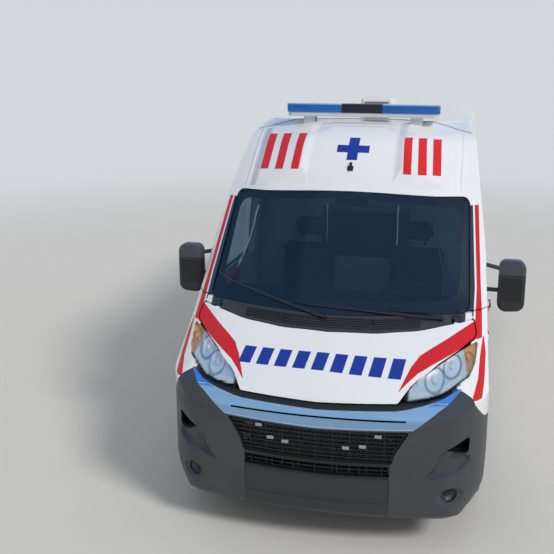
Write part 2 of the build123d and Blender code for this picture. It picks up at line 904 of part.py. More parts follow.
liner = across_rod(600, 1100, 0, wheel_radius, liner_radius)
liner = liner - across_rod(590, 1110, 0, wheel_radius, liner_radius - 5)
liner = (liner & under_panel & block(590, 1100, -600, 600, 345, 1000)) - rod(foot, head, 31)
save("arch_liners", Compound(children=liner.solids() + mirrored(liner).solids()))

engine_half, engine_front, engine_back, engine_top = 370, -640, 60, 1000
engine = block(-engine_half, engine_half, engine_front, engine_back, front_rail_low, engine_top)
engine = engine - block(-engine_half - 1, engine_half + 1, 20, engine_back + 1, 900, engine_top + 1)
radiator_half, radiator_top, radiator_thick = rail_in - seat_gap, 900, 50
radiator = block(
    -radiator_half,
    radiator_half,
    rail_front,
    rail_front + radiator_thick,
    front_rail_low,
    radiator_top,
)
save("engine", Compound(children=engine.solids() + radiator.solids()))

pipe_x, pipe_height, pipe_radius = -250, 300, 28
pipe_start, pipe_end = 60, 3200
muffler_start, muffler_end, muffler_radius = 2050, 2650, 90
hanger = 16


def exhaust_run(start, end, radius):
    """A round length of the exhaust, along the vehicle."""
    return rod((pipe_x, start, pipe_height), (pipe_x, end, pipe_height), radius)


exhaust = exhaust_run(muffler_start, muffler_end, muffler_radius)
exhaust += exhaust_run(pipe_start, muffler_start + 10, pipe_radius)
exhaust += exhaust_run(muffler_end - 10, pipe_end, pipe_radius)
for cross in cross_members[:3]:
    exhaust += block(
        pipe_x - hanger / 2,
        pipe_x + hanger / 2,
        cross - hanger / 2,
        cross + hanger / 2,
        pipe_height,
        cross_low,
    )
save("exhaust", exhaust)

tank_in, tank_out, tank_low = 40, 425, 210
tank_front, tank_back = cross_members[0] - 15, cross_members[1] + 15
tank = block(tank_in, tank_out, tank_front, tank_back, tank_low, cross_low - seat_gap)
tank = fillet(tank.edges().filter_by(Axis.Y), 35)
save("fuel_tank", tank)


# cab and load space fittings

dash_rows = [
    (-420, 1303, 0),
    (-420, 1330, 0),
    (60, 1352, 200),
    (240, 1338, 60),
    (330, 1240, 60),
    (300, 1120, 80),
    (210, 960, 60),
    (113, 910, 0),
    (113, 1303, 0),
]
dashboard = from_side(dash_rows, -1100, 1100) & inner
dashboard -= [post_space, mirrored(post_space)]

driver_x = 450
column_low = Vector(driver_x, 300, 1120)
column_high = Vector(driver_x, 470, 1212)
column = (column_high - column_low).normalized()
wheel_plane = Plane(origin=column_high, x_dir=(1, 0, 0), z_dir=column)
steering_wheel = wheel_plane * Torus(188, 14)
steering_wheel += wheel_plane * Pos(0, 0, -6) * Cylinder(62, 30)
for angle in (0, 180, 270):
    steering_wheel += wheel_plane * Rot(0, 0, angle) * Pos(116, 0, 0) * Box(130, 36, 14)
save("steering_wheel", steering_wheel)
shaft = rod(column_low, column_high - column * (21 + seat_gap), 26)
save("dashboard", dashboard + shaft)

seat_places = (driver_x, -driver_x)
seat_front, seat_back, seat_under, seat_top = 520, 1000, 790, 920
base_half, cushion_half = 210, 250
back_size, rest_size = (480, 110, 600), (270, 90, 170)
post_step, post_radius = 60, 8
frames = []
pads = []
for place in seat_places:
    base_low, base_high = place - base_half, place + base_half
    frames.append(block(base_low, base_high, seat_front + 40, seat_back, cab_floor_top, seat_under))
    low, high = place - cushion_half, place + cushion_half
    cushion = block(low, high, seat_front, seat_back, seat_under, seat_top)
    back = Pos(place, 1040, 1210) * Rot(-12, 0, 0) * Box(*back_size)
    back = fillet(back.edges().filter_by(Axis.X), 40) - cushion
    rest = Pos(place, 1118, 1610) * Rot(-8, 0, 0) * Box(*rest_size)
    rest = fillet(rest.edges().filter_by(Axis.X), 30)
    pads += [fillet(cushion.edges().filter_by(Axis.X), 45), back, rest]
    for step in (-post_step, post_step):
        post = rod((place + step, 1108, 1480), (place + step, 1120, 1560), post_radius)
        frames.append(post - back - rest)
save("seat_frames", Compound(children=[s for f in frames for s in f.solids()]))
save("seat_pads", Compound(children=[s for p in pads for s in p.solids()]))

cabinet_in, cabinet_front, cabinet_back, cabinet_top = 560, 1300, 2650, 1330
cabinet = block(cabinet_in, 1100, cabinet_front, cabinet_back, floor_top, cabinet_top) & inner
platform = block(-330, 250, 2350, 4250, floor_top, 700)
save("load_fittings", Compound(children=cabinet.solids() + platform.solids()))


# roof equipment

bar_y, bar_half, bar_depth = 925, 590, 75
bar_low, bar_joint, bar_high = 2548, 2580, 2645
bar_foot_x, bar_foot_half = 420, 45
bar_middle, bar_end_radius = 160, 45
bar_base = block(-bar_half, bar_half, bar_y - bar_depth, bar_y + bar_depth, bar_low, bar_joint)
bar_base = fillet(bar_base.edges().filter_by(Axis.Z), bar_end_radius)
for place in (-bar_foot_x, bar_foot_x):
    foot_low, foot_high = place - bar_foot_half, place + bar_foot_half
    bar_base += block(foot_low, foot_high, bar_y - 50, bar_y + 50, 2480, bar_low + 1) - outer
lens_front, lens_rear = bar_y - bar_depth - 5, bar_y + bar_depth + 5
lens_rows = [
    (lens_front, bar_joint + seat_gap, 0),
    (lens_rear, bar_joint + seat_gap, 0),
    (lens_rear - 14, bar_high, 22),
    (lens_front + 14, bar_high, 22),
]
lens_end = bar_half + 10
lens_plan = [
    (0, lens_front, 0),
    (lens_end, lens_front, bar_end_radius + 5),
    (lens_end, lens_rear, bar_end_radius + 5),
    (0, lens_rear, 0),
]
lens = from_side(lens_rows, bar_middle, lens_end) & from_above(lens_plan, bar_joint, bar_high + 1)
save("lightbar_lenses", Compound(children=lens.solids() + mirrored(lens).solids()))
centre = from_side(lens_rows, seat_gap - bar_middle, bar_middle - seat_gap)
save("lightbar_base", Compound(children=bar_base.solids() + centre.solids()))
vent_front, vent_back, vent_half, vent_top = 1830, 2170, 170, 2655
vent_rows = [(-vent_half, 2480, 0), (vent_half, 2480, 0), (140, vent_top, 30), (-140, vent_top, 30)]
vent = from_front(vent_rows, vent_front, vent_back)
vent = fillet(vent.faces().sort_by(Axis.Z)[-1].edges(), 28)
vent = vent - outer
antenna_foot, antenna_tip = (0, 300, 2200), (0, 330, 2262)
antenna = rod(antenna_foot, (0, 316, 2232), 22) + rod((0, 316, 2180), antenna_tip, 9)
antenna = antenna - outer
save("roof_fittings", Compound(children=vent.solids() + antenna.solids()))
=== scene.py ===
import json
from contextlib import contextmanager
from math import cos, exp, pi, radians, sin

import bmesh
import bpy
from mathutils import Matrix, Vector
from mathutils.bvhtree import BVHTree

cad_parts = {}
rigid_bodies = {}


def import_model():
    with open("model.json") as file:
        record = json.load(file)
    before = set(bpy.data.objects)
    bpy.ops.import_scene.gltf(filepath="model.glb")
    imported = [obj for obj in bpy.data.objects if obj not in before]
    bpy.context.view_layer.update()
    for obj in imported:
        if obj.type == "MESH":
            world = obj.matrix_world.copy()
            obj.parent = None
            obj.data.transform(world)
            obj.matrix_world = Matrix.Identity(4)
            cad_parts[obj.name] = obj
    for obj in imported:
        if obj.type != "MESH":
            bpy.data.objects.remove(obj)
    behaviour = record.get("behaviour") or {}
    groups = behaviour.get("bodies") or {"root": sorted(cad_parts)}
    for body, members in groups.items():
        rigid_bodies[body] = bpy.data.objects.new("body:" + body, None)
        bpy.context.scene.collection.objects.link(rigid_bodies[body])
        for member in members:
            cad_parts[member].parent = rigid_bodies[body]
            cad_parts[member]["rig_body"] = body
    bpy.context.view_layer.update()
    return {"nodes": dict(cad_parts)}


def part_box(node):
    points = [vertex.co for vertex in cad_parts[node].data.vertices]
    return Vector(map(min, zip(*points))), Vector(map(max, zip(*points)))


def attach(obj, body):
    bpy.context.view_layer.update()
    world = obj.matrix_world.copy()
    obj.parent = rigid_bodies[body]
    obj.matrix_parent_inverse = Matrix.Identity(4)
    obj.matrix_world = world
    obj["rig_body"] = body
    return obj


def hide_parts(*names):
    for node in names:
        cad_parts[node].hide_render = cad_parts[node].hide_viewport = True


for leftover in list(bpy.data.objects):
    bpy.data.objects.remove(leftover)
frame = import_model()
scene = bpy.context.scene
scene.view_settings.view_transform = "Standard"


# Materials are laid up in node trees. Bench adds the nodes of one tree, and Flow is a value that
# runs through it, on which plain arithmetic can be written. Object coordinates are the vehicle's own.


class Flow:
    def __init__(self, bench, socket):
        self.bench = bench
        self.socket = socket

    def math(self, operation, *values):
        return self.bench.node("ShaderNodeMath", {"operation": operation}, dict(enumerate(values)))

    def __add__(self, other):
        return self.math("ADD", self, other)

    __radd__ = __add__

    def __sub__(self, other):
        return self.math("SUBTRACT", self, other)

    def __rsub__(self, other):
        return self.math("SUBTRACT", other, self)

    def __mul__(self, other):
        return self.math("MULTIPLY", self, other)

    __rmul__ = __mul__

    def __truediv__(self, other):
        return self.math("DIVIDE", self, other)

    def __neg__(self):
        return self.math("MULTIPLY", self, -1.0)

    def __abs__(self):
        return self.math("ABSOLUTE", self)

    def __lt__(self, other):
        return self.math("LESS_THAN", self, other)

    def __gt__(self, other):
        return self.math("GREATER_THAN", self, other)

    def __and__(self, other):
        return self.math("MINIMUM", self, other)

    def __or__(self, other):
        return self.math("MAXIMUM", self, other)

    def floor(self):
        return self.math("FLOOR", self)

    def root(self):
        return self.math("SQRT", self)

    def wrap(self, pitch):
        return self.math("FLOORED_MODULO", self, pitch)

    def within(self, low, high):
        return (self > low) & (self < high)

    def ramp(self, low, high):
        """0 below one value, 1 above the other, and a soft change between them."""
        settings = {"interpolation_type": "SMOOTHSTEP"}
        return self.bench.node("ShaderNodeMapRange", settings, {0: self, 1: low, 2: high})

    def along(self, points):
        """The height of a line through points of place and height, level beyond its ends."""
        total = points[0][1] + self * 0.0
        for (here, low), (there, high) in zip(points, points[1:]):
            run = (self - here) | 0.0
            total = total + (run & (there - here)) * ((high - low) / (there - here))
        return total


class Bench:
    def __init__(self, tree):
        self.tree = tree

    def node(self, kind, settings=None, sockets=None, out=0):
        made = self.tree.nodes.new(kind)
        for name, value in (settings or {}).items():
            setattr(made, name, value)
        for name, value in (sockets or {}).items():
            if isinstance(value, Flow):
                self.tree.links.new(value.socket, made.inputs[name])
            else:
                made.inputs[name].default_value = value
        return Flow(self, made.outputs[out])

    def place(self):
        """The three coordinates of a point on the vehicle, in metres."""
        point = self.node("ShaderNodeTexCoord", out=3)
        return [self.node("ShaderNodeSeparateXYZ", sockets={0: point}, out=axis) for axis in range(3)]

    def grain(self, scale, detail=2.0, rough=0.5):
        """Even random shades from 0 to 1, in the vehicle's own space."""
        point = self.node("ShaderNodeTexCoord", out=3)
        sockets = {"Vector": point, "Scale": scale, "Detail": detail, "Roughness": rough}
        return self.node("ShaderNodeTexNoise", sockets=sockets)

    def cells(self, scale):
        """Distance from the middle of each of many small cells."""
        point = self.node("ShaderNodeTexCoord", out=3)
        return self.node("ShaderNodeTexVoronoi", sockets={"Vector": point, "Scale": scale})

    def mix(self, share, first, second):
        """One colour laid over another by a share."""
        sockets = {0: share, 6: first, 7: second}
        return self.node("ShaderNodeMix", {"data_type": "RGBA"}, sockets, out=2)

    def watched(self):
        """1 for what the camera sees straight, by reflection or through glass, and 0 for light alone."""
        camera, glossy, through = [self.node("ShaderNodeLightPath", out=index) for index in (0, 3, 6)]
        return camera | glossy | through


class Finish(Bench):
    """A surface finish: one shader whose fixed sockets are set at once."""

    def __init__(self, name, colour, rough, **fixed):
        self.material = bpy.data.materials.new(name)
        self.material.use_nodes = True
        super().__init__(self.material.node_tree)
        self.tree.nodes.clear()
        self.shader = self.tree.nodes.new("ShaderNodeBsdfPrincipled")
        sheet = self.tree.nodes.new("ShaderNodeOutputMaterial")
        self.tree.links.new(self.shader.outputs[0], sheet.inputs[0])
        self.shader.inputs["Base Color"].default_value = colour
        self.shader.inputs["Roughness"].default_value = rough
        for name, value in fixed.items():
            self.shader.inputs[name.replace("_", " ")].default_value = value

    def feed(self, name, flow):
        self.tree.links.new(flow.socket, self.shader.inputs[name])

    def tint(self, share, first, second):
        """The surface's colour: one laid over another by a share."""
        self.feed("Base Color", self.mix(share, first, second))

    def wear(self, least, more, scale, detail=2.0):
        """Roughness from a least value up, in soft patches."""
        self.feed("Roughness", least + self.grain(scale, detail) * more)

    def relief(self, height, distance, strength=1.0):
        """Fine raised and sunk detail, as high as a distance in metres."""
        sockets = {"Strength": strength, "Distance": distance, "Height": height}
        self.feed("Normal", self.node("ShaderNodeBump", sockets=sockets))


def tone(red, green, blue):
    """A colour as it is seen, in steps of 0 to 255."""
    parts = [value / 255 for value in (red, green, blue)]
    linear = [p / 12.92 if p <= 0.04045 else ((p + 0.055) / 1.055) ** 2.4 for p in parts]
    return (*linear, 1.0)


# The studio: a floor of pale board that runs out into a pale sky, a small and a broad sun lamp high on
# the right, and the camera at the place and angle from which the photograph was taken.

sky_low, sky_high, fill = tone(211, 216, 221), tone(104, 160, 222), 0.44
world = bpy.data.worlds.new("studio")
world.use_nodes = True
world.node_tree.nodes.clear()
air = Bench(world.node_tree)
upness = air.node("ShaderNodeSeparateXYZ", sockets={0: air.node("ShaderNodeTexCoord", out=0)}, out=2)
backdrop = air.mix(upness.ramp(0.06, 0.5), sky_low, sky_high)
soft_light = (fill * 0.97, fill * 0.99, fill * 1.02, 1.0)
glow = air.node("ShaderNodeBackground", sockets={0: air.mix(air.watched(), soft_light, backdrop), 1: 1.0})
sky_out = world.node_tree.nodes.new("ShaderNodeOutputWorld")
world.node_tree.links.new(glow.socket, sky_out.inputs[0])
scene.world = world

board = Finish("pale_floor", tone(214, 213, 209), 0.8)
point = board.node("ShaderNodeTexCoord", out=3)
far = board.node("ShaderNodeVectorMath", {"operation": "LENGTH"}, {0: point}, out=1)
board.tint(board.grain(3.0, 4.0) * 0.25, tone(214, 213, 209), tone(196, 195, 190))
glow_out = board.node("ShaderNodeEmission", sockets={0: sky_low, 1: 1.0})
faded = far.ramp(7.0, 16.0) & board.watched()
blended = board.node("ShaderNodeMixShader", sockets={0: faded, 2: glow_out})
board.tree.links.new(board.shader.outputs[0], blended.socket.node.inputs[1])
board.tree.links.new(blended.socket, board.tree.nodes["Material Output"].inputs[0])
reach = 300.0
ground = bpy.data.meshes.new("floor_board")
corners = [(-reach, -reach, 0), (reach, -reach, 0), (reach, reach, 0), (-reach, reach, 0)]
ground.from_pydata(corners, [], [(0, 1, 2, 3)])
floor_board = bpy.data.objects.new("floor_board", ground)
scene.collection.objects.link(floor_board)
ground.materials.append(board.material)

lamp_aim = Vector((0.95, -0.55, 0.95))
for name, energy, disc, in_gloss in (("soft_lamp", 1.95, 14, False), ("broad_lamp", 0.22, 120, True)):
    lamp = bpy.data.lights.new(name, "SUN")
    lamp.energy = energy
    lamp.angle = radians(disc)
    lamp.color = (1.0, 0.985, 0.96)
    holder = bpy.data.objects.new(name, lamp)
    holder.rotation_euler = lamp_aim.to_track_quat("Z", "Y").to_euler()
    holder.visible_glossy = in_gloss
    scene.collection.objects.link(holder)

eye = Vector((0.8187, -6.8585, 2.9468))
turn, tip, lean = radians(-11.265), radians(-12.809), radians(0.375)
ahead = Vector((sin(turn) * cos(tip), cos(turn) * cos(tip), sin(tip)))
sideways = Vector((cos(turn), -sin(turn), 0))
upward = sideways.cross(ahead)
level = sideways * cos(lean) + upward * sin(lean)
plumb = upward * cos(lean) - sideways * sin(lean)
picture, focal, sensor = 554, 766.53, 36
lens = bpy.data.cameras.new("view")
lens.sensor_width = sensor
lens.lens = focal / picture * sensor
lens.shift_x, lens.shift_y = -37.48 / picture, -38.73 / picture
view = bpy.data.objects.new("view", lens)
view.matrix_world = Matrix.Translation(eye) @ Matrix((level, plumb, -ahead)).transposed().to_4x4()
scene.collection.objects.link(view)
scene.camera = view


# The painted steel shell: bonnet, wings, cab frame, roof, sides and doors, pressed and welded, under
# gloss white enamel. Red film is laid over it in swooshes by the lamps and a band along the sides.

tyre_front, tyre_back = [corner.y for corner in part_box("tyre_front_left")]
front_axle = (tyre_front + tyre_back) / 2
red_film, shade_film = tone(214, 20, 16), tone(198, 16, 18)


def keep(name, mesh, body, finish, slot, *stands_for):
    """A finished piece: its mesh, the body it rides on, its material and the CAD piece it dresses."""
    piece = bpy.data.objects.new(name, mesh)
    scene.collection.objects.link(piece)
    mesh.name = name
    mesh.materials.clear()
    mesh.materials.append(finish.material)
    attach(piece, body)
    if stands_for:
        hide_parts(*stands_for)
    return piece


def worked(mesh, *steps):
    """The same mesh after modifiers, each given as its type and settings."""
    holder = bpy.data.objects.new("work", mesh)
    scene.collection.objects.link(holder)
    for kind, settings in steps:
        step = holder.modifiers.new(kind, kind)
        for name, value in settings.items():
            setattr(step, name, value)
    bpy.context.view_layer.update()
    result = bpy.data.meshes.new_from_object(holder.evaluated_get(bpy.context.evaluated_depsgraph_get()))
    bpy.data.objects.remove(holder)
    return result


def bevel(width, angle=30):
    """A step that rounds the edges sharper than an angle."""
    settings = {"width": width, "segments": 2, "limit_method": "ANGLE", "angle_limit": radians(angle)}
    return "BEVEL", settings


def thickened(thickness, offset=-1.0):
    """A step that gives a skin its thickness, behind it or in front."""
    return "SOLIDIFY", {"thickness": thickness, "offset": offset}


@contextmanager
def shaping(mesh):
    """The mesh opened for work on its points and faces, and written back at the end."""
    form = bmesh.new()
    form.from_mesh(mesh)
    yield form
    form.to_mesh(mesh)
    form.free()


def body_of(node):
    return frame["nodes"][node]["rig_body"]


def welded(node, weld=0.00003):
    """A CAD piece's own form with its loose triangles joined."""
    mesh = bpy.data.meshes.new(node + "_form")
    with shaping(mesh) as shell:
        shell.from_mesh(frame["nodes"][node].data)
        bmesh.ops.remove_doubles(shell, verts=shell.verts, dist=weld)
    if "custom_normal" in mesh.attributes:
        mesh.attributes.remove(mesh.attributes["custom_normal"])
    return mesh


def smoothed(mesh, angle=32):
    mesh.shade_smooth()
    mesh.set_sharp_from_angle(angle=radians(angle))
    return mesh


def dress(node, finish, slot, angle=32, edge=0.0):
    """A CAD piece with smooth curves, and rounded edges where a width is given."""
    mesh = welded(node)
    if edge:
        mesh = worked(mesh, bevel(edge, angle))
    return keep(node + "_dressed", smoothed(mesh, angle), body_of(node), finish, slot, node)


enamel = Finish("white_enamel", tone(232, 234, 236), 0.32, Coat_Weight=1.0, Coat_Roughness=0.04)
x, y, z = enamel.place()
side, back = abs(x), y - front_axle
swoosh_top = [(0.484, 1.04), (0.52, 1.107), (0.546, 1.151), (0.592, 1.196), (0.646, 1.221), (0.95, 1.35)]
swoosh_low = [(0.484, 1.036), (0.527, 1.074), (0.588, 1.121), (0.661, 1.155), (0.778, 1.192), (0.934, 1.247)]
swoosh = z.within(side.along(swoosh_low), side.along(swoosh_top)) & side.within(0.484, 0.925) & (back < -0.24)
stripe_front = [(0.977, -0.74), (1.007, -0.692), (1.068, -0.598), (1.164, -0.458), (1.25, -0.318)]
stripe_back = [(0.977, -0.671), (1.021, -0.597), (1.067, -0.527), (1.117, -0.46), (1.167, -0.389)]
stripe_back.append((1.245, -0.311))
stripe = back.within(z.along(stripe_front), z.along(stripe_back)) & (side > 0.9) & z.within(0.98, 1.25)
pillar_in = z.along([(1.25, 0.918), (1.34, 0.920), (1.50, 0.922), (2.0, 0.884)])
pillar_out = [(1.25, 0.967), (1.30, 0.965), (1.38, 0.961), (1.46, 0.953), (1.54, 0.946), (2.0, 0.912)]
pillar = side.within(pillar_in, z.along(pillar_out)) & z.within(1.247, 1.985) & (back < 0.64)
normal = enamel.node("ShaderNodeTexCoord", out=1)
outer_face = (x * enamel.node("ShaderNodeSeparateXYZ", sockets={0: normal}, out=0)) > 0.0
band_high, line_high, flank = 1.325, 1.09, 0.965
band = z.within(1.12, band_high) & (back > -0.02 + (band_high - z) * 0.5)
line = z.within(1.065, line_high) & (back > 0.1 + (line_high - z) * 0.5)
filmed = swoosh | stripe | pillar | ((band | line) & outer_face & (side > flank))
cloud = enamel.grain(1.7, 4.0)
white = enamel.mix(cloud * 0.5, tone(234, 236, 238), tone(224, 227, 231))
dust = (1.0 - z.ramp(0.3, 0.85)) * enamel.grain(9.0, 6.0, 0.6) * 0.45
white = enamel.mix(dust, white, tone(178, 168, 152))
red = enamel.mix(enamel.grain(4.0), red_film, shade_film)
grip = (side > 1.0305) & z.within(1.02, 1.085)
hinge = side.within(0.762, 0.84) & (z > 1.333) & back.within(-0.345, -0.2)
seal = side.within(0.8, pillar_in - 0.012) & z.within(1.36, 1.985) & (back < 0.64)
black = grip | hinge | seal
enamel.tint(black, enamel.mix(filmed, white, red), tone(34, 35, 38))
enamel.feed("Roughness", 0.26 + filmed * 0.2 + dust * 0.5)
enamel.feed("Coat Weight", 1.0 - filmed * 0.8)
rib_pitch, rib_half, roof_front, roof_back = 0.26, 0.034, 1.3, 4.2
pressed = 1.0 - (abs(side.wrap(rib_pitch) - rib_pitch / 2) / rib_half).ramp(0.5, 1.0)
pressed = pressed & (back - roof_front).ramp(0.0, 0.08) & (roof_back - back).ramp(0.0, 0.08)
pressed = pressed & (z > 2.45) & (side < 0.76)
enamel.relief(enamel.grain(420.0, 1.0) * 0.00006 + filmed * 0.0003 + pressed * 0.005, 1.0, 0.9)

shell_nodes = ["wings", "cab_frame", "roof", "sliding_door", "side_panel_left", "side_panel_right"]
shell_nodes += ["front_door_left", "front_door_right", "rear_door_left", "rear_door_right", "bonnet"]
for node in shell_nodes:
    dress(node, enamel, "white_paint")


# The roof cap over the cab: one glass-fibre moulding in white gel coat, bonded on with a bead of
# grey sealant. It carries six red bars and a plain blue cross cut from film.


def caster(*nodes):
    """Finds where a straight line first meets the given pieces."""
    points, faces = [], []
    for node in nodes:
        mesh = frame["nodes"][node].data
        base = len(points)
        points += [vertex.co.copy() for vertex in mesh.vertices]
        faces += [[base + index for index in face.vertices] for face in mesh.polygons]
    tree = BVHTree.FromPolygons(points, faces)

    def meet(start, direction):
        place, normal, _, _ = tree.ray_cast(Vector(start), Vector(direction))
        return place, normal

    return meet


def lofted(rows, closed=False, loop=False, thick=0.0):
    """A skin through rows of points. A closed skin joins each row's ends, and a loop joins the rows."""
    points = [point for row in rows for point in row]
    width = len(rows[0])
    faces = []
    for r in range(len(rows) if loop else len(rows) - 1):
        here, there = r * width, (r + 1) % len(rows) * width
        for c in range(width if closed else width - 1):
            d = (c + 1) % width
            faces.append((here + c, here + d, there + d, there + c))
    mesh = bpy.data.meshes.new("skin")
    mesh.from_pydata(points, [], faces)
    return worked(mesh, thickened(thick)) if thick else mesh


def joined(meshes):
    """Several meshes as one."""
    result = bpy.data.meshes.new("joined")
    with shaping(result) as whole:
        for mesh in meshes:
            whole.from_mesh(mesh)
    return result


def outwards(mesh, weld=0.00001):
    """The mesh with its doubles merged and every face turned to the outside."""
    with shaping(mesh) as shell:
        bmesh.ops.remove_doubles(shell, verts=shell.verts, dist=weld)
        bmesh.ops.recalc_face_normals(shell, faces=shell.faces)
    return mesh


def film(meet, corners, lift=0.0009, steps=(4, 12)):
    """Thin film on a surface seen from the front: four corners of across and height, in order."""
    rows = []
    low_in, low_out, high_out, high_in = [Vector(corner) for corner in corners]
    for r in range(steps[1] + 1):
        left = low_in.lerp(high_in, r / steps[1])
        right = low_out.lerp(high_out, r / steps[1])
        row = []
        for c in range(steps[0] + 1):
            spot = left.lerp(right, c / steps[0])
            place, normal = meet((spot.x, -4.0, spot.y), (0, 1, 0))
            row.append(place + normal * lift)
        rows.append(row)
    return lofted(rows, thick=lift * 0.8)


gel = Finish("white_gel_coat", tone(234, 236, 238), 0.22, Coat_Weight=1.0, Coat_Roughness=0.03)
x, y, z = gel.place()
gel.tint(gel.grain(2.2, 5.0) * 0.6, tone(236, 238, 240), tone(222, 227, 232))
side, back = abs(x), y - front_axle
pad = (side - 0.33).ramp(-0.03, 0.05) & (1.0 - (side - 0.73).ramp(-0.03, 0.04))
pad = pad & (back - 0.30).ramp(-0.06, 0.06)
fold = 1.0 - (abs(side - 0.79) / 0.014).ramp(0.0, 1.0)
gel.relief(pad + fold * 0.15 + gel.grain(300.0, 1.0) * 0.005, 0.024, 1.0)
dress("roof_cap", gel, "white_paint")
on_cap = caster("roof_cap")

film_red = Finish("red_film", red_film, 0.5, Coat_Weight=0.15, Coat_Roughness=0.2)
film_red.tint(film_red.grain(6.0), red_film, tone(222, 26, 20))
film_blue = Finish("blue_film", tone(16, 44, 140), 0.45, Coat_Weight=0.2, Coat_Roughness=0.2)
film_blue.tint(film_blue.grain(6.0), tone(14, 42, 138), tone(20, 54, 156))
bar_rows = [
    ((0.377, 2.190), (0.434, 2.187), (0.416, 2.420), (0.360, 2.421)),
    ((0.480, 2.184), (0.540, 2.180), (0.518, 2.413), (0.460, 2.415)),
    ((0.582, 2.178), (0.640, 2.171), (0.624, 2.402), (0.565, 2.406)),
    ((-0.384, 2.203), (-0.442, 2.200), (-0.446, 2.428), (-0.382, 2.432)),
    ((-0.510, 2.195), (-0.576, 2.188), (-0.583, 2.419), (-0.515, 2.423)),
    ((-0.638, 2.184), (-0.705, 2.177), (-0.711, 2.409), (-0.642, 2.413)),
]
strips = [film(on_cap, corners, 0.0016, (6, 24)) for corners in bar_rows]
keep("roof_bars", outwards(joined(strips)), "van_body", film_red, "white_paint")
arm, reach_across, reach_up, middle = 0.038, 0.118, 0.072, 2.345
arm_up = arm * reach_up / reach_across


def oblong(low, high, radius=None):
    """The four corners between two places of across and up, with a radius where one is given."""
    corners = [low, (high[0], low[1]), high, (low[0], high[1])]
    return corners if radius is None else [(*corner, radius) for corner in corners]


upright = oblong((-arm, middle - reach_up), (arm, middle + reach_up))
strips = [film(on_cap, upright, steps=(4, 10))]
for hand in (1, -1):
    corners = oblong((hand * arm, middle - arm_up), (hand * reach_across, middle + arm_up))
    strips.append(film(on_cap, corners, steps=(6, 4)))
keep("roof_cross", outwards(joined(strips)), "van_body", film_blue, "white_paint")


# The bonnet's row of nine slanted blocks, cut from the same blue film.


def between(rows, place):
    """The height at a place on a line through rows of place and height."""
    for (here, low), (there, high) in zip(rows, rows[1:]):
        if place <= there:
            return low + (high - low) * (place - here) / (there - here)
    return rows[-1][1]


on_bonnet = caster("bonnet")
block_low = [(-0.6, 1.113), (-0.02, 1.116), (0.55, 1.090)]
block_high = [(-0.6, 1.186), (-0.02, 1.192), (0.55, 1.180)]
first, pitch, width, slant = -0.536, 0.1185, 0.078, 0.022
strips = []
for count in range(9):
    start = first + count * pitch
    end = start + width
    corners = [(start, between(block_low, start)), (end, between(block_low, end))]
    corners += [(end + slant, between(block_high, end)), (start + slant, between(block_high, start))]
    strips.append(film(on_bonnet, corners, 0.0012, (8, 8)))
keep("bonnet_blocks", outwards(joined(strips)), "bonnet_lid", film_blue, "white_paint")


# The glass: bent laminated windscreen and toughened side and rear panes, lightly tinted, bonded in
# with a black printed border along each edge.


def rounded(rows, steps=6):
    """The points of a closed outline whose corners are given as across, up and radius."""
    points = []
    for index, (across, up, radius) in enumerate(rows):
        here = Vector((across, up))
        back = Vector(rows[index - 1][:2]) - here
        ahead = Vector(rows[(index + 1) % len(rows)][:2]) - here
        if radius <= 0:
            points.append(here)
            continue
        half = back.angle(ahead) / 2
        reach = min(radius * cos(half) / sin(half), back.length * 0.49, ahead.length * 0.49)
        start, end = here + back.normalized() * reach, here + ahead.normalized() * reach
        for step in range(steps + 1):
            t = step / steps
            points.append(start * (1 - t) ** 2 + here * (2 * t * (1 - t)) + end * t**2)
    return points


def evened(points, count):
    """Points at even steps along straight lines through the given ones, with both ends."""
    lengths = [0.0]
    for here, there in zip(points, points[1:]):
        lengths.append(lengths[-1] + (there - here).length)
    result, at = [], 0
    for step in range(count + 1):
        goal = lengths[-1] * step / count
        while at < len(points) - 2 and lengths[at + 1] < goal:
            at += 1
        share = (goal - lengths[at]) / max(lengths[at + 1] - lengths[at], 1e-9)
        result.append(points[at].lerp(points[at + 1], share))
    return result


def front(u, v):
    """The start and direction of a line to a place of across and up, as for the other sides below."""
    return (u, -4.0, v), (0, 1, 0)


def rear(u, v):
    return (u, 5.0, v), (0, -1, 0)


def left_side(u, v):
    return (3.0, u + front_axle, v), (-1, 0, 0)


def right_side(u, v):
    return (-3.0, u + front_axle, v), (1, 0, 0)


def above(u, v):
    return (u, v + front_axle, 4.0), (0, 0, -1)


def band_on(meet, aim, outer, inner, lift, thick, count=140, steps=4):
    """A flat band between two outlines, laid on a surface or behind it."""
    outer, inner = [evened(ring + ring[:1], count)[:-1] for ring in (outer, inner)]
    rows = []
    for step in range(steps + 1):
        row = []
        for edge, core in zip(outer, inner):
            spot = edge.lerp(core, step / steps)
            place, normal = meet(*aim(spot.x, spot.y))
            if place is None:
                place, normal = meet(*aim(*edge.lerp(core, 0.5)))
            row.append(place + normal * lift)
        rows.append(row)
    return lofted(rows, closed=True, thick=thick)


def mirrored(mesh):
    """The same mesh on the other side of the vehicle."""
    twin = mesh.copy()
    twin.transform(Matrix.Scale(-1, 4, (1, 0, 0)))
    twin.flip_normals()
    return twin


def coat(node, finish):
    """A CAD piece kept as it is, with its finish laid on."""
    frame["nodes"][node].material_slots[0].material = finish.material


pane = Finish("tinted_glass", tone(120, 150, 172), 0.02, Transmission_Weight=1.0, IOR=1.45)
pane.tint(pane.grain(2.5, 3.0), tone(168, 182, 190), tone(188, 200, 206))
panes = ["windscreen", "side_glass", "front_door_glass_left", "front_door_glass_right"]
for node in panes + ["rear_door_glass_left", "rear_door_glass_right"]:
    coat(node, pane)

print_black = Finish("printed_border", tone(14, 16, 20), 0.45)
print_black.wear(0.4, 0.15, 200.0)
screen_outer = [(0.0, 1.350, 0), (0.882, 1.379, 0.04), (0.850, 2.036, 0.06), (0.0, 2.080, 0)]
screen_inner = [(0.0, 1.428, 0), (0.815, 1.452, 0.11), (0.806, 1.985, 0.09), (0.0, 2.034, 0)]


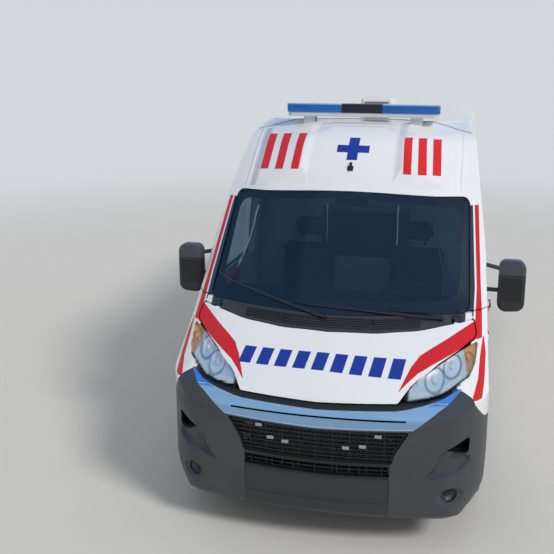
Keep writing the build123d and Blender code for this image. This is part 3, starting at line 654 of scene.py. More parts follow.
def both_ways(rows):
    """An outline's rows on the +X side, and the same rows mirrored."""
    return rows + [(-across, up, radius) for across, up, radius in reversed(rows) if across > 0]


on_screen = caster("windscreen")
edges = [rounded(both_ways(rows)) for rows in (screen_outer, screen_inner)]
border = band_on(on_screen, front, *edges, lift=-0.0066, thick=0.0006, count=220)
keep("screen_border", outwards(border), "van_body", print_black, "dark_plastic")
side_pane = [(1.343, 1.403), (1.343, 1.937), (2.387, 1.937), (2.387, 1.403)]
door_pane = [(0.193, 1.381), (0.503, 1.925), (1.079, 1.935), (1.079, 1.381)]
back_pane = [(0.113, 1.343), (0.767, 1.343), (0.732, 1.927), (0.113, 1.927)]


def pane_rim(outline, width, radius):
    """Outer and inner edge of a border of even width inside a four-cornered outline."""
    middle = sum((Vector(corner) for corner in outline), Vector((0, 0))) / 4
    core = []
    for corner in outline:
        away = middle - Vector(corner)
        shift = (width * 1.1 if away.x > 0 else -width * 1.1, width if away.y > 0 else -width)
        core.append(Vector(corner) + Vector(shift))
    return [rounded([(*c, radius) for c in ring]) for ring in (outline, core)]


for node, aims, outline in (
    ("side_glass", (left_side, right_side), side_pane),
    ("front_door_glass_left", (left_side,), door_pane),
    ("front_door_glass_right", (right_side,), door_pane),
):
    on_pane = caster(node)
    edges = pane_rim(outline, 0.03, 0.055)
    rings = [outwards(band_on(on_pane, aim, *edges, -0.0064, 0.0006)) for aim in aims]
    keep(node + "_border", joined(rings), body_of(node), print_black, "dark_plastic")
for hand, node in ((1, "rear_door_glass_left"), (-1, "rear_door_glass_right")):
    outline = [(hand * u, v) for u, v in back_pane]
    ring = band_on(caster(node), rear, *pane_rim(outline, 0.03, 0.05), -0.0064, 0.0006)
    keep(node + "_border", outwards(ring), body_of(node), print_black, "dark_plastic")


# The scuttle: a black plastic tray under the windscreen with long louvres for the cab air, two washer
# jets, and two wipers with pressed arms and rubber blades parked in the recess above it.

grained = Finish("black_grained_plastic", tone(44, 46, 50), 0.5)
grained.tint(grained.grain(3.0, 4.0), tone(38, 40, 44), tone(56, 58, 62))
grained.wear(0.42, 0.2, 5.0, 3.0)
grained.relief(grained.grain(700.0), 0.0003, 0.5)
satin = Finish("satin_black_metal", tone(24, 25, 27), 0.35, Coat_Weight=0.3)
satin.tint(satin.grain(40.0), tone(20, 21, 23), tone(34, 35, 38))
rubber = Finish("black_rubber", tone(18, 18, 19), 0.65)
rubber.wear(0.58, 0.2, 90.0)


def balanced(half):
    """A profile whose other half mirrors the given one."""
    return half + [(-u, v) for u, v in half[::-1]]


def round_profile(radius, count):
    """A number of points round a circle."""
    return [(radius * cos(a), radius * sin(a)) for a in [2 * pi / count * k for k in range(count)]]


def run(stops, profile, taper=None):
    """A bar swept through stops of place and normal; its profile is points of across and out."""
    rows = []
    for index, (place, normal) in enumerate(stops):
        ahead = stops[min(index + 1, len(stops) - 1)][0] - stops[max(index - 1, 0)][0]
        sideways = ahead.cross(normal).normalized()
        size = taper(index / (len(stops) - 1)) if taper else 1.0
        rows.append([place + sideways * (u * size) + normal * (v * size) for u, v in profile])
    mesh = lofted(rows, closed=True)
    with shaping(mesh) as bar:
        ends = list(bar.verts)
        bar.faces.new(ends[: len(profile)][::-1])
        bar.faces.new(ends[-len(profile) :])
        bmesh.ops.recalc_face_normals(bar, faces=bar.faces)
    return mesh


def traced(meet, aim, points, count):
    """Evenly spaced stops along straight lines through points, dropped onto a surface."""
    met = [meet(*aim(*spot)) for spot in evened([Vector(point) for point in points], count)]
    return [(place, normal) for place, normal in met if place is not None]


cowl = Finish("scuttle_plastic", tone(44, 46, 50), 0.5)
x, y, z = cowl.place()
painted = (abs(x) > 0.857) | (z > 1.5)
cowl.tint(painted, cowl.mix(cowl.grain(3.0, 4.0), tone(40, 42, 46), tone(66, 68, 70)), tone(226, 228, 230))
cowl.feed("Roughness", 0.5 - painted * 0.2)
cowl.relief(cowl.grain(700.0) * (1.0 - painted), 0.0003, 0.5)
dress("scuttle", cowl, "dark_plastic")
on_scuttle = caster("scuttle")
scuttle_front = [(-0.578, 1.308), (-0.3, 1.292), (0, 1.290), (0.3, 1.292), (0.578, 1.308)]
scuttle_rear = [(-0.578, 1.357), (-0.3, 1.348), (0, 1.345), (0.3, 1.348), (0.578, 1.357)]
louvre = [(-0.0035, -0.002), (-0.0045, 0.004), (0.002, 0.009), (0.0055, 0.007), (0.0045, -0.002)]
slats = []
for share in (0.16, 0.34, 0.52, 0.70, 0.88):
    line = [Vector(a).lerp(Vector(b), share) for a, b in zip(scuttle_front, scuttle_rear)]
    slats.append(run(traced(on_scuttle, front, line, 36), louvre))
keep("scuttle_louvres", joined(slats), "van_body", grained, "dark_plastic")
jet = balanced([(-0.009, -0.001), (-0.008, 0.008), (-0.004, 0.013)])
jets = []
for across in (-0.30, -0.05, 0.28):
    jets.append(run(traced(on_scuttle, front, [(across, 1.318), (across, 1.338)], 3), jet))
keep("washer_jets", joined(jets), "van_body", satin, "dark_plastic")

wiper_places = [
    ((-0.04, 1.335), (-0.56, 1.448), (-0.855, 1.512), (-0.29, 1.392)),
    ((0.70, 1.350), (0.13, 1.388), (-0.37, 1.403), (0.62, 1.380)),
]
on_glass = caster("windscreen", "scuttle", "cab_frame")
arm_profile = balanced([(-0.009, 0.004), (-0.008, 0.015), (-0.003, 0.019)])
lip_profile = balanced([(-0.0012, 0.0005), (-0.003, 0.006)])
spine_profile = [(-0.006, 0.006), (-0.007, 0.010), (0.0, 0.016), (0.007, 0.010), (0.006, 0.006)]
arms, lips = [], []
for pivot, middle, tip, tail in wiper_places:
    stops = traced(on_glass, front, [pivot, middle], 30)
    arms.append(run(stops, arm_profile, taper=lambda t: 1.5 - 0.7 * t))
    stops = traced(on_glass, front, [tip, middle, tail], 40)
    lips.append(run(stops, lip_profile))
    arms.append(run(stops, spine_profile, taper=lambda t: 0.55 + 0.9 * min(t, 1 - t)))
    place, normal = on_glass(*front(*pivot))
    turn = normal.to_track_quat("Z", "Y").to_matrix().to_4x4()
    cap = bpy.data.meshes.new("boss")
    with shaping(cap) as boss:
        bmesh.ops.create_cone(boss, cap_ends=True, segments=24, radius1=0.021, radius2=0.014, depth=0.026)
        bmesh.ops.bevel(boss, geom=boss.edges, offset=0.002, segments=2, affect="EDGES")
    cap.transform(Matrix.Translation(place + normal * 0.012) @ turn)
    arms.append(cap)
keep("wiper_arms", joined(arms), "van_body", satin, "dark_plastic", "wipers")
keep("wiper_rubbers", joined(lips), "van_body", rubber, "dark_plastic")


# The front bumper: one large moulding in grained dark grey plastic, with a plain plate panel, a slot
# over it, an intake at each side with a crease below it, and a sunk fog lamp at each corner.

bumper = Finish("grey_grained_plastic", tone(62, 65, 70), 0.48)
x, y, z = bumper.place()
side, back = abs(x), y - front_axle
chrome_top = [(0.0, 0.925), (0.3, 0.935), (0.5, 0.949), (0.6, 0.972), (0.7, 1.001), (0.8, 1.02)]
# Painted shadow: the strip between the bonnet's edge and the chrome, and the slot over the plate panel, are
# painted near black as shade.
gap_shadow = (z > side.along(chrome_top + [(0.86, 1.04)])) & (side < 0.80)
middle = (side < 0.452) & (back < -0.6)
gap_shadow = gap_shadow | (z.within(0.506, 0.60) & middle)
painted_edge = [(0.80, 1.055), (0.832, 1.041), (0.868, 1.024), (0.905, 1.002), (0.96, 0.966), (1.03, 0.88)]
corner = (z > side.along(painted_edge)) & (side > 0.80)
plain = bumper.mix(bumper.grain(2.0, 5.0), tone(52, 54, 58), tone(70, 73, 77))
plain = bumper.mix(((z < 0.62) & middle) * 0.8, plain, tone(44, 45, 48))
plain = bumper.mix(gap_shadow, plain, tone(20, 21, 24))
bumper.tint(corner, plain, tone(232, 234, 236))
bumper.wear(0.34, 0.2, 6.0, 4.0)
upper_fold = side.along([(0.56, 0.80), (0.70, 0.845), (0.85, 0.90), (1.0, 0.935)])
sweep = (z - upper_fold).ramp(-0.025, 0.025) & (side - 0.56).ramp(0.0, 0.05)
bumper.relief(bumper.grain(650.0, 2.0) * 0.0002 + sweep * 0.009, 1.0, 0.9)
on_bumper = caster("front_bumper")


def slab(low, high, edge=0.004, steps=2):
    """A block with rounded edges between two corners of across, behind the front axle and up."""
    mesh = bpy.data.meshes.new("slab")
    size = [b - a for a, b in zip(low, high)]
    offset = min(edge, min(size) * 0.45)
    middle = [(a + b) / 2 for a, b in zip(low, high)]
    with shaping(mesh) as form:
        bmesh.ops.create_cube(form, size=1.0)
        bmesh.ops.scale(form, vec=size, verts=form.verts)
        bmesh.ops.bevel(form, geom=form.edges[:], offset=offset, segments=steps, affect="EDGES")
        bmesh.ops.translate(form, vec=(middle[0], middle[1] + front_axle, middle[2]), verts=form.verts)
    return mesh


def eased(value):
    """A soft rise from 0 to 1."""
    value = max(0.0, min(1.0, value))
    return value * value * (3 - 2 * value)


def line_gap(spot, points):
    """How far a point is from an open line of points."""
    nearest = 9.0
    for here, there in zip(points, points[1:]):
        along = there - here
        share = max(0.0, min(1.0, (spot - here).dot(along) / max(along.length_squared, 1e-12)))
        nearest = min(nearest, (spot - here - along * share).length)
    return nearest


def inside(spot, outline):
    """Whether a point lies inside an outline."""
    odd = False
    for here, there in zip(outline, outline[1:] + outline[:1]):
        if (here.y > spot.y) != (there.y > spot.y):
            if spot.x < here.x + (there.x - here.x) * (spot.y - here.y) / (there.y - here.y):
                odd = not odd
    return odd


fold = [(0.757, 0.6985), (0.724, 0.66), (0.700, 0.60), (0.672, 0.553), (0.627, 0.507), (0.545, 0.478)]
lip = [(0.545, 0.478), (0.627, 0.485), (0.75, 0.515), (0.872, 0.544), (0.931, 0.603), (0.928, 0.66)]
fold, lip = [[Vector(place) for place in line] for line in (fold, lip)]
scoop = fold + lip[1:] + [Vector((0.922, 0.643))]
fog_lamp, fog_radius = Vector((0.812, 0.396)), 0.0455
panel_half, panel_low, panel_high = 0.4515, 0.3385, 0.4995


def bumper_depth(u, v):
    """How far the bumper's face is pressed in at a place seen from the front."""
    spot, deep = Vector((abs(u), v)), 0.0
    if inside(spot, scoop):
        deep = 0.034 * eased(line_gap(spot, fold) / 0.04) * eased(line_gap(spot, lip) / 0.034)
    round_gap = ((spot.x - 0.815) / 0.088) ** 2 + ((v - 0.388) / (0.072 if v > 0.388 else 0.058)) ** 2
    if round_gap < 1:
        deep += 0.021 * eased((1 - round_gap) * 1.5)
    if abs(u) < panel_half and panel_low < v < panel_high:
        deep += 0.006
    return deep


def cut_across(form, low, high, axis, cut):
    """Cuts the faces that look ahead inside a window, where they cross a place on an axis."""
    normal = Vector((1, 0, 0)) if axis == 0 else Vector((0, 0, 1))
    faces = []
    for face in form.faces:
        first = face.verts[0].co
        seen = low[0] < first.x < high[0] and low[1] < first.z < high[1] and abs(face.normal.y) >= 0.12
        heights = [vertex.co[axis] for vertex in face.verts] if seen else [cut]
        if min(heights) < cut - 0.0002 and max(heights) > cut + 0.0002:
            faces.append(face)
    near = {edge for face in faces for edge in face.edges}
    ends = {vertex for face in faces for vertex in face.verts}
    geometry = faces + list(near) + list(ends)
    bmesh.ops.bisect_plane(form, geom=geometry, dist=0.0001, plane_co=normal * cut, plane_no=normal)


def carved(mesh, windows, press):
    """The mesh cut finer inside windows, with its face pressed in and its lower corners rounded."""
    square_side, square_up, wide, high = 0.76, 0.43, 0.265, 0.215
    with shaping(mesh) as form:
        for low_corner, high_corner, lines in windows:
            for axis, cuts in lines:
                for cut in cuts:
                    cut_across(form, low_corner, high_corner, axis, cut)
        for vertex in form.verts:
            back = vertex.co.y - front_axle
            if back < -0.60:
                vertex.co.y += press(vertex.co.x, vertex.co.z)
            u = (abs(vertex.co.x) - square_side) / wide
            v = (square_up - vertex.co.z) / high
            share = eased((-0.38 - (vertex.co.y - front_axle)) / 0.2)
            if u > 0 and v > 0 and share > 0:
                turned_u = u * (1 - min(v, 1) ** 2 / 2) ** 0.5
                turned_v = v * (1 - min(u, 1) ** 2 / 2) ** 0.5
                hand = 1 if vertex.co.x > 0 else -1
                vertex.co.x -= hand * (u - turned_u) * wide * share
                vertex.co.z += (v - turned_v) * high * share
        bmesh.ops.recalc_face_normals(form, faces=form.faces)
    return mesh


plate_lines = [(0, (-0.452, -0.448, 0.448, 0.452)), (2, (0.337, 0.341, 0.497, 0.501))]
windows = [((-1.2, 0.1), (1.2, 0.9), plate_lines)]
cell = 0.0095
for start in (-0.985, 0.535):
    lines = [(0, [start + k * cell for k in range(48)]), (2, [0.27 + k * cell for k in range(47)])]
    windows.append(((start - 0.06, 0.18), (start + 0.51, 0.85), lines))
skin = carved(worked(welded("front_bumper"), bevel(0.004)), windows, bumper_depth)
keep("front_bumper_dressed", smoothed(skin, 38), "van_body", bumper, "dark_plastic", "front_bumper")


def spread(meet, aim, outline, lift=0.0, step=0.02, depth=None):
    """A skin cut to an outline and laid on a surface, or sunk behind it by a depth at each point."""
    low = Vector((min(p.x for p in outline), min(p.y for p in outline), 0))
    high = Vector((max(p.x for p in outline), max(p.y for p in outline), 0))
    mesh = bpy.data.meshes.new("skin")
    with shaping(mesh) as flat:
        face = flat.faces.new([flat.verts.new((spot.x, spot.y, 0)) for spot in outline])
        bmesh.ops.triangulate(flat, faces=[face])
        for axis, normal in enumerate((Vector((1, 0, 0)), Vector((0, 1, 0)))):
            for count in range(1, int((high[axis] - low[axis]) / step) + 1):
                geometry = list(flat.verts) + list(flat.edges) + list(flat.faces)
                cut = low + normal * count * step
                bmesh.ops.bisect_plane(flat, geom=geometry, plane_co=cut, plane_no=normal)
        bmesh.ops.remove_doubles(flat, verts=flat.verts, dist=step * 0.02)
        bmesh.ops.triangulate(flat, faces=flat.faces)
        lost = []
        for vertex in flat.verts:
            u, v = vertex.co.x, vertex.co.y
            start, direction = aim(u, v)
            place, normal = meet(start, direction)
            if place is None:
                lost.append(vertex)
            elif depth:
                vertex.co = place + Vector(direction) * depth(u, v)
            else:
                vertex.co = place + normal * lift
        bmesh.ops.delete(flat, geom=lost, context="VERTS")
        bmesh.ops.recalc_face_normals(flat, faces=flat.faces)
    return facing(mesh, -Vector(aim(0, 0)[1]))


def facing(mesh, outside):
    """The mesh turned over if its faces look away from a direction."""
    if sum(face.normal.dot(outside) * face.area for face in mesh.polygons) < 0:
        mesh.flip_normals()
    return mesh


bar = slab((-0.003, -0.004, -0.030), (0.003, 0.010, 0.030), 0.002)
bars = []
for k in range(-3, 4):
    place, normal = on_bumper(*front(k * 0.135, 0.504))
    part = bar.copy()
    part.transform(Matrix.Translation((k * 0.135, place.y - front_axle + 0.012, 0.552)))
    bars.append(part)
keep("slot_dividers", joined(bars), "van_body", bumper, "dark_plastic")

# Painted shade: the tubs behind the intakes are near black to stand for the shade inside the openings.
shadowed = Finish("black_duct_plastic", tone(16, 17, 19), 0.7)
shadowed.wear(0.6, 0.25, 80.0)
intake_rows = [(0.754, 0.694, 0.015), (0.918, 0.776, 0.015), (0.914, 0.652, 0.03)]
tubs = []
for hand in (1, -1):
    hole = rounded([(hand * u, v, r) for u, v, r in intake_rows])
    centre = sum(hole, Vector((0, 0))) / len(hole)
    place, normal = on_bumper(*front(centre.x, 0.80))
    rows = []
    for shrink, sink in ((1.0, 0.036), (1.0, 0.07), (0.9, 0.10), (0.4, 0.104), (0.02, 0.104)):
        row = []
        for spot in hole:
            at = centre + (spot - centre) * shrink
            rim = on_bumper(*front(*(centre + (spot - centre) * 1.16)))[0] or place
            row.append(Vector((at.x, rim.y + sink, at.y)))
        rows.append(row)
    tubs.append(facing(lofted(rows, closed=True), Vector((0, -1, 0))))
keep("intake_ducts", joined(tubs), "van_body", shadowed, "dark_plastic")


# The chrome: two bars pressed from plated plastic that follow the bowed nose, plain all across, over a
# black mesh grille with small pale clips.

# Painted reflection: the chrome's base colour is tinted blue for the sky it reflects.
chrome = Finish("bright_chrome", tone(150, 190, 230), 0.07, Metallic=1.0)
chrome.wear(0.06, 0.05, 30.0)
coat("chrome_bars", chrome)
on_chrome = caster("chrome_bars")
bead_lines = [
    [(0.0, 0.918), (0.2, 0.925), (0.4, 0.932), (0.5, 0.941), (0.6, 0.963), (0.7, 0.990), (0.79, 0.985)],
    [(0.0, 0.822), (0.2, 0.826), (0.4, 0.832), (0.5, 0.835), (0.595, 0.838), (0.70, 0.912), (0.79, 0.977)],
]
polished = Finish("polished_chrome", tone(236, 240, 244), 0.1, Metallic=1.0)
polished.wear(0.08, 0.06, 30.0)
beads = []
for rows in bead_lines:
    for hand in (1, -1):
        stops = traced(on_chrome, front, [(hand * u, v) for u, v in rows], 60)
        beads.append(run(stops, round_profile(0.0028, 6)))
keep("chrome_beads", smoothed(joined(beads), 60), "van_body", polished, "chrome_trim")
gloss_black = Finish("gloss_black_plastic", tone(20, 21, 23), 0.3)
gloss_black.wear(0.26, 0.12, 60.0)
dress("grille", gloss_black, "dark_plastic")


class Pattern(Bench):
    """A geometry tree that repeats a small form. Its sizes are named inputs."""

    def __init__(self, name, finish, **sizes):
        super().__init__(bpy.data.node_groups.new(name, "GeometryNodeTree"))
        self.finish = finish
        face = self.tree.interface
        face.new_socket("Geometry", in_out="INPUT", socket_type="NodeSocketGeometry")
        face.new_socket("Geometry", in_out="OUTPUT", socket_type="NodeSocketGeometry")
        self.keys = {}
        for size, value in sizes.items():
            kind = {int: "Int", float: "Float", tuple: "Vector"}[type(value)]
            socket = face.new_socket(size, in_out="INPUT", socket_type="NodeSocket" + kind)
            socket.default_value = value
            self.keys[size] = socket.identifier
        start = self.tree.nodes.new("NodeGroupInput")
        self.form = Flow(self, start.outputs[0])
        self.sizes = {size: Flow(self, start.outputs[size]) for size in sizes}

    def spaced(self, count, rows):
        """A line of points for a number of rows, with the row and the column of each."""
        sockets = {"Count": count * rows, "Offset": (0, 0, 0)}
        line = self.node("GeometryNodeMeshLine", {"mode": "OFFSET"}, sockets)
        index = self.node("GeometryNodeInputIndex")
        return line, (index / count).floor(), index.wrap(count)

    def moved(self, line, place):
        return self.node("GeometryNodeSetPosition", sockets={0: line, "Position": place})

    def close(self, points, **turned):
        """Ends the tree: the small form set on each point, made real, with its material."""
        sockets = {"Points": points, "Instance": self.form, **turned}
        copies = self.node("GeometryNodeInstanceOnPoints", sockets=sockets)
        real = self.node("GeometryNodeRealizeInstances", sockets={0: copies})
        sockets = {0: real, "Material": self.finish.material}
        painted = self.node("GeometryNodeSetMaterial", sockets=sockets)
        end = self.tree.nodes.new("NodeGroupOutput")
        self.tree.links.new(painted.socket, end.inputs[0])

    def make(self, form, **sizes):
        """The pattern worked on a small form, with some of its sizes changed."""
        holder = bpy.data.objects.new("work", form)
        scene.collection.objects.link(holder)
        step = holder.modifiers.new("pattern", "NODES")
        step.node_group = self.tree
        for size, value in sizes.items():
            step[self.keys[size]] = value
        bpy.context.view_layer.update()
        graph = bpy.context.evaluated_depsgraph_get()
        result = bpy.data.meshes.new_from_object(holder.evaluated_get(graph))
        bpy.data.objects.remove(holder)
        return result


def small(build, *settings, **options):
    """A small mesh from one bmesh maker, in its own place."""
    mesh = bpy.data.meshes.new("small")
    with shaping(mesh) as form:
        build(form, *settings, **options)
    return mesh


def hexagon(form, outer, inner, deep):
    """A six-sided tube lying along Y."""
    rings = []
    for radius, y in ((outer, 0), (outer, deep), (inner, deep), (inner, 0)):
        angles = [pi / 6 + pi / 3 * k for k in range(6)]
        rings.append([form.verts.new((radius * cos(a), y, radius * sin(a) * 0.62)) for a in angles])
    for here, there in zip(rings, rings[1:] + rings[:1]):
        for k in range(6):
            form.faces.new((here[k], here[(k + 1) % 6], there[(k + 1) % 6], there[k]))
    bmesh.ops.recalc_face_normals(form, faces=form.faces)


nose, bow_radius = front_axle - 0.9445, 3.645
sizes = {"Pitch": 0.0262, "Rise": 0.0142, "Low": 0.607, "Bow": bow_radius}
grid = Pattern("mesh_cells", gloss_black, Rows=15, Columns=44, **sizes)
columns, bow = grid.sizes["Columns"], grid.sizes["Bow"]
line, row, column = grid.spaced(columns, grid.sizes["Rows"])
stagger = row.wrap(2.0) * 0.5
cell_x = (column + stagger - (columns - 1.0) * 0.5) * grid.sizes["Pitch"]
cell_y = bow - (bow * bow - cell_x * cell_x).root() + (nose + 0.026)
cell_z = grid.sizes["Low"] + row * grid.sizes["Rise"]
line = grid.moved(line, grid.node("ShaderNodeCombineXYZ", sockets={0: cell_x, 1: cell_y, 2: cell_z}))
outside = abs(cell_x) > cell_z.along([(0.604, 0.45), (0.675, 0.472), (0.80, 0.545)])
grid.close(grid.node("GeometryNodeDeleteGeometry", sockets={0: line, "Selection": outside}))
cell = small(hexagon, 0.0158, 0.0128, 0.012)
keep("grille_cells", grid.make(cell), "van_body", gloss_black, "dark_plastic")
pale = Finish("pale_clips", tone(150, 156, 160), 0.4)
pale.wear(0.35, 0.15, 50.0)
clip_places = [(-0.359, 0.786), (-0.284, 0.712), (-0.190, 0.697)]
clip_places += [(0.185, 0.694), (0.286, 0.709), (0.378, 0.779)]
clips = []
for u, v in clip_places:
    drop = nose + 0.016 + bow_radius - (bow_radius**2 - u**2) ** 0.5
    clip = small(bmesh.ops.create_cube, size=1.0)
    clip.transform(Matrix.Translation((u, drop, v)) @ Matrix.Diagonal((0.042, 0.01, 0.02, 1)))
    clips.append(worked(clip, bevel(0.003)))
keep("grille_clips", joined(clips), "van_body", pale, "white_plastic")


# The headlamps: a clear moulded lens over a sunk housing with bright reflector bowls, an amber
# indicator at the outer end, and painted shade along the lower edge and the inner end. The bowls carry
# painted shade at their rims and painted highlights in their middles. The fog lamps have a flat lens over one
# bowl.

clear = Finish("clear_lens", tone(250, 252, 252), 0.02, Transmission_Weight=1.0, IOR=1.2)
clear.wear(0.015, 0.02, 20.0)
bright = Finish("lamp_reflector", tone(225, 228, 230), 0.12, Metallic=0.9)
x, y, z = bright.place()
side = abs(x)
amber_part = (side + (z - 1.10) * 0.25 - 0.872).ramp(0.0, 0.012)
# Painted shadow: the housing's lower edge and inner end are painted near black as shade.
shadow_edge = side.along([(0.50, 0.995), (0.66, 1.012), (0.76, 1.037), (0.84, 1.068), (0.9, 1.094)])
cream_edge = side.along([(0.50, 1.012), (0.66, 1.03), (0.76, 1.056), (0.84, 1.088), (0.9, 1.11)])
painted_shadow_band = (1.0 - (z - shadow_edge).ramp(-0.006, 0.0)) | (1.0 - (side - 0.555).ramp(-0.02, 0.0))
cream = 1.0 - (z - cream_edge).ramp(-0.004, 0.004)
flutes = x.wrap(0.009) * 110.0
silver = bright.mix(cream, tone(226, 229, 232), tone(250, 242, 222))
bowls = [(0.690, 1.078, 0.056), (0.792, 1.128, 0.052), (0.884, 1.150, 0.034)]
# Painted shade and painted highlight: each of the two main bowls gets a darker ring at its rim as painted
# shade, and a near-white middle as a painted highlight.
for middle_side, middle_up, wide in bowls[:2]:
    across, up = side - middle_side, z - middle_up
    away = (across * across + up * up).root() / wide
    rim = 1.0 - (abs(away - 1.0) / 0.16).ramp(0.2, 1.0)
    silver = bright.mix(rim * 0.55, silver, tone(84, 90, 98))
    silver = bright.mix((0.95 - away).ramp(0.0, 0.2) * 0.6, silver, tone(252, 250, 244))
bright.tint(painted_shadow_band, bright.mix(amber_part, silver, tone(234, 170, 108)), tone(26, 28, 32))
bright.feed("Metallic", (1.0 - painted_shadow_band) * 0.14)
bright.feed("Roughness", 0.2 + painted_shadow_band * 0.2)
bright.relief(abs(flutes - 0.5), 0.0012, 0.4)
lamp_rows = [
    (0.500, 0.992, 0.012),
    (0.655, 1.003, 0.15),
    (0.757, 1.029, 0.15),
    (0.839, 1.060, 0.10),
    (0.897, 1.084, 0.025),
    (0.928, 1.136, 0.06),
    (0.944, 1.240, 0.012),
    (0.821, 1.196, 0.2),
    (0.700, 1.147, 0.25),
    (0.616, 1.106, 0.1),
    (0.556, 1.056, 0.08),
]
on_lamp = caster("headlamps")
lamp_outline = rounded(lamp_rows)


def lamp_depth(u, v):
    """How far the lamp's inside lies behind its lens."""
    spot = Vector((abs(u), v))
    rim = min(line_gap(spot, lamp_outline + lamp_outline[:1]) / 0.016, 1.0)
    deep = 0.006 + 0.034 * (rim * (2 - rim))
    for middle_side, middle_up, radius in bowls:
        away = (spot - Vector((middle_side, middle_up))).length / radius
        if away < 1.0:
            deep += 0.03 * (1 - away**2) ** 0.6 * rim
        if away < 0.36:
            deep -= 0.032 * (1 - (away / 0.36) ** 2) ** 0.5 * rim
    return deep


def fog_sink(u, v):
    return 0.021


def fog_depth(u, v):
    """The fog lamp's bowl behind its lens."""
    away = (Vector((abs(u), v)) - fog_lamp).length / fog_radius
    return 0.03 + 0.035 * max(0.0, 1 - away**2)


lenses, insides = [], []
for hand in (1, -1):
    outline = [Vector((hand * spot.x, spot.y)) for spot in lamp_outline]
    middle = Vector((hand * fog_lamp.x, fog_lamp.y))
    ring = [middle + Vector((cos(a), sin(a))) * fog_radius for a in [pi / 20 * k for k in range(40)]]
    for edge, lens_depth, bowl_depth in ((outline, None, lamp_depth), (ring, fog_sink, fog_depth)):
        shell = spread(on_lamp, front, edge, -0.0004, 0.02, lens_depth)
        lenses.append(worked(shell, thickened(0.0025)))
        insides.append(spread(on_lamp, front, edge, 0.0, 0.006, bowl_depth))
keep("lamp_lenses", smoothed(joined(lenses), 40), "van_body", clear, "lamp_glass", "headlamps")
keep("lamp_insides", smoothed(joined(insides), 50), "van_body", bright, "lamp_glass")


# The mirrors: black plastic housings on two arms, with a grey domed cap, a large flat glass over a
# small curved one behind, and a smoked indicator at the outer end in front.


def drum(start, end, radius, far=None, edge=0.002):
    """A round bar or cone between two places, with its rims rounded."""
    start, end = [Vector((u, v + front_axle, w)) for u, v, w in (start, end)]
    sizes = {"radius1": radius, "radius2": far or radius, "depth": (end - start).length}
    mesh = bpy.data.meshes.new("drum")
    with shaping(mesh) as form:
        bmesh.ops.create_cone(form, cap_ends=True, segments=32, **sizes)
        rims = [e for e in form.edges if any(len(f.verts) > 4 for f in e.link_faces)]
        bmesh.ops.bevel(form, geom=rims, offset=edge, segments=2, affect="EDGES")
    turn = (end - start).to_track_quat("Z", "Y").to_matrix().to_4x4()
    mesh.transform(Matrix.Translation((start + end) / 2) @ turn)
    return mesh


def plate_on(meet, aim, rows, lift, thick, step, edge):
    """A plate of even thickness on a surface, cut to rounded rows."""
    mesh = spread(meet, aim, rounded(rows), lift, step)
    return smoothed(worked(mesh, thickened(thick, 1.0), bevel(edge)), 40)


housing = Finish("mirror_housing", tone(40, 41, 44), 0.45)
x, y, z = housing.place()
capped = (z - 1.545).ramp(-0.001, 0.001)
panel = (abs(x) - 1.085).ramp(-0.004, 0.004) & (1.222 - abs(x)).ramp(-0.004, 0.004)
panel = panel & (z - 1.365).ramp(-0.004, 0.004) & (1.522 - z).ramp(-0.004, 0.004)
housing.tint(capped, housing.mix(panel, tone(40, 41, 44), tone(24, 25, 27)), tone(66, 69, 74))
housing.feed("Roughness", 0.46 - capped * 0.16 + housing.grain(8.0) * 0.1)
seam = 1.0 - (abs(z - 1.545) / 0.005).ramp(0.0, 1.0)
housing.relief(housing.grain(700.0) * 0.06 - seam - panel * 1.5, 0.004, 0.8)
silvered = Finish("mirror_glass", tone(222, 228, 232), 0.02, Metallic=1.0)
silvered.wear(0.015, 0.02, 12.0)
amber = Finish("amber_lens", tone(226, 120, 22), 0.12, Coat_Weight=0.6)
amber.wear(0.1, 0.12, 160.0)
upper_pane = [(1.090, 1.392, 0.02), (1.236, 1.400, 0.02), (1.236, 1.618, 0.035), (1.094, 1.618, 0.035)]
lower_pane = [(1.088, 1.298, 0.02), (1.236, 1.312, 0.02), (1.236, 1.380, 0.015), (1.090, 1.373, 0.015)]
for hand, node in ((1, "mirror_left"), (-1, "mirror_right")):
    dress(node, housing, "dark_plastic", angle=40)
    body, meet = body_of(node), caster(node)
    glasses = []
    for rows in (upper_pane, lower_pane):
        rows = [(hand * u, v, r) for u, v, r in rows]
        glasses.append(plate_on(meet, rear, rows, 0.0004, 0.0025, 0.05, 0.001))
    keep(node + "_glass", joined(glasses), body, silvered, "dark_plastic")
    rows = [(hand * u, v, 0.008) for u, v in ((1.170, 1.455), (1.236, 1.462), (1.236, 1.486), (1.176, 1.478))]
    blinker = plate_on(meet, front, rows, 0.0003, 0.003, 0.02, 0.001)
    keep(node + "_indicator", blinker, body, gloss_black, "dark_plastic")


# The light bar: a pale rail on two brackets, two blue moulded lenses over rows of lamp modules and a
# black middle. Behind it stands a white roof vent, and in front a short black aerial.

lens_blue = Finish("blue_lens", tone(24, 96, 214), 0.1, Transmission_Weight=0.4, IOR=1.35, Coat_Weight=0.5)
x, y, z = lens_blue.place()
lens_colour = lens_blue.mix(lens_blue.grain(6.0), tone(18, 88, 186), tone(40, 128, 214))
# Painted reflection: the lens's top face is painted pale blue-white for the sky seen in it.
lens_blue.tint((z - 2.638).ramp(-0.003, 0.002), lens_colour, tone(150, 190, 224))
ribs = abs(x).wrap(0.011) * 90.0
lens_blue.relief(abs(ribs - 0.5), 0.0012, 0.5)
dress("lightbar_lenses", lens_blue, "blue_lens", angle=35, edge=0.002)
rail = Finish("lightbar_shell", tone(210, 214, 218), 0.35)
x, y, z = rail.place()
dark_middle = (0.162 - abs(x)).ramp(-0.001, 0.001) & (z - 2.579).ramp(-0.001, 0.001)
rail.tint(dark_middle, tone(208, 213, 218), tone(26, 27, 30))
rail.wear(0.32, 0.12, 30.0)
grooves = z.wrap(0.008) * 125.0
rail.relief(abs(grooves - 0.5) * (1.0 - dark_middle) + rail.grain(500.0) * 0.1, 0.0012, 0.5)
dress("lightbar_base", rail, "dark_plastic", angle=35, edge=0.002)


def origin(mesh):
    """A small form moved back so that the vehicle's origin is its own."""
    mesh.transform(Matrix.Translation((0, -front_axle, 0)))
    return mesh


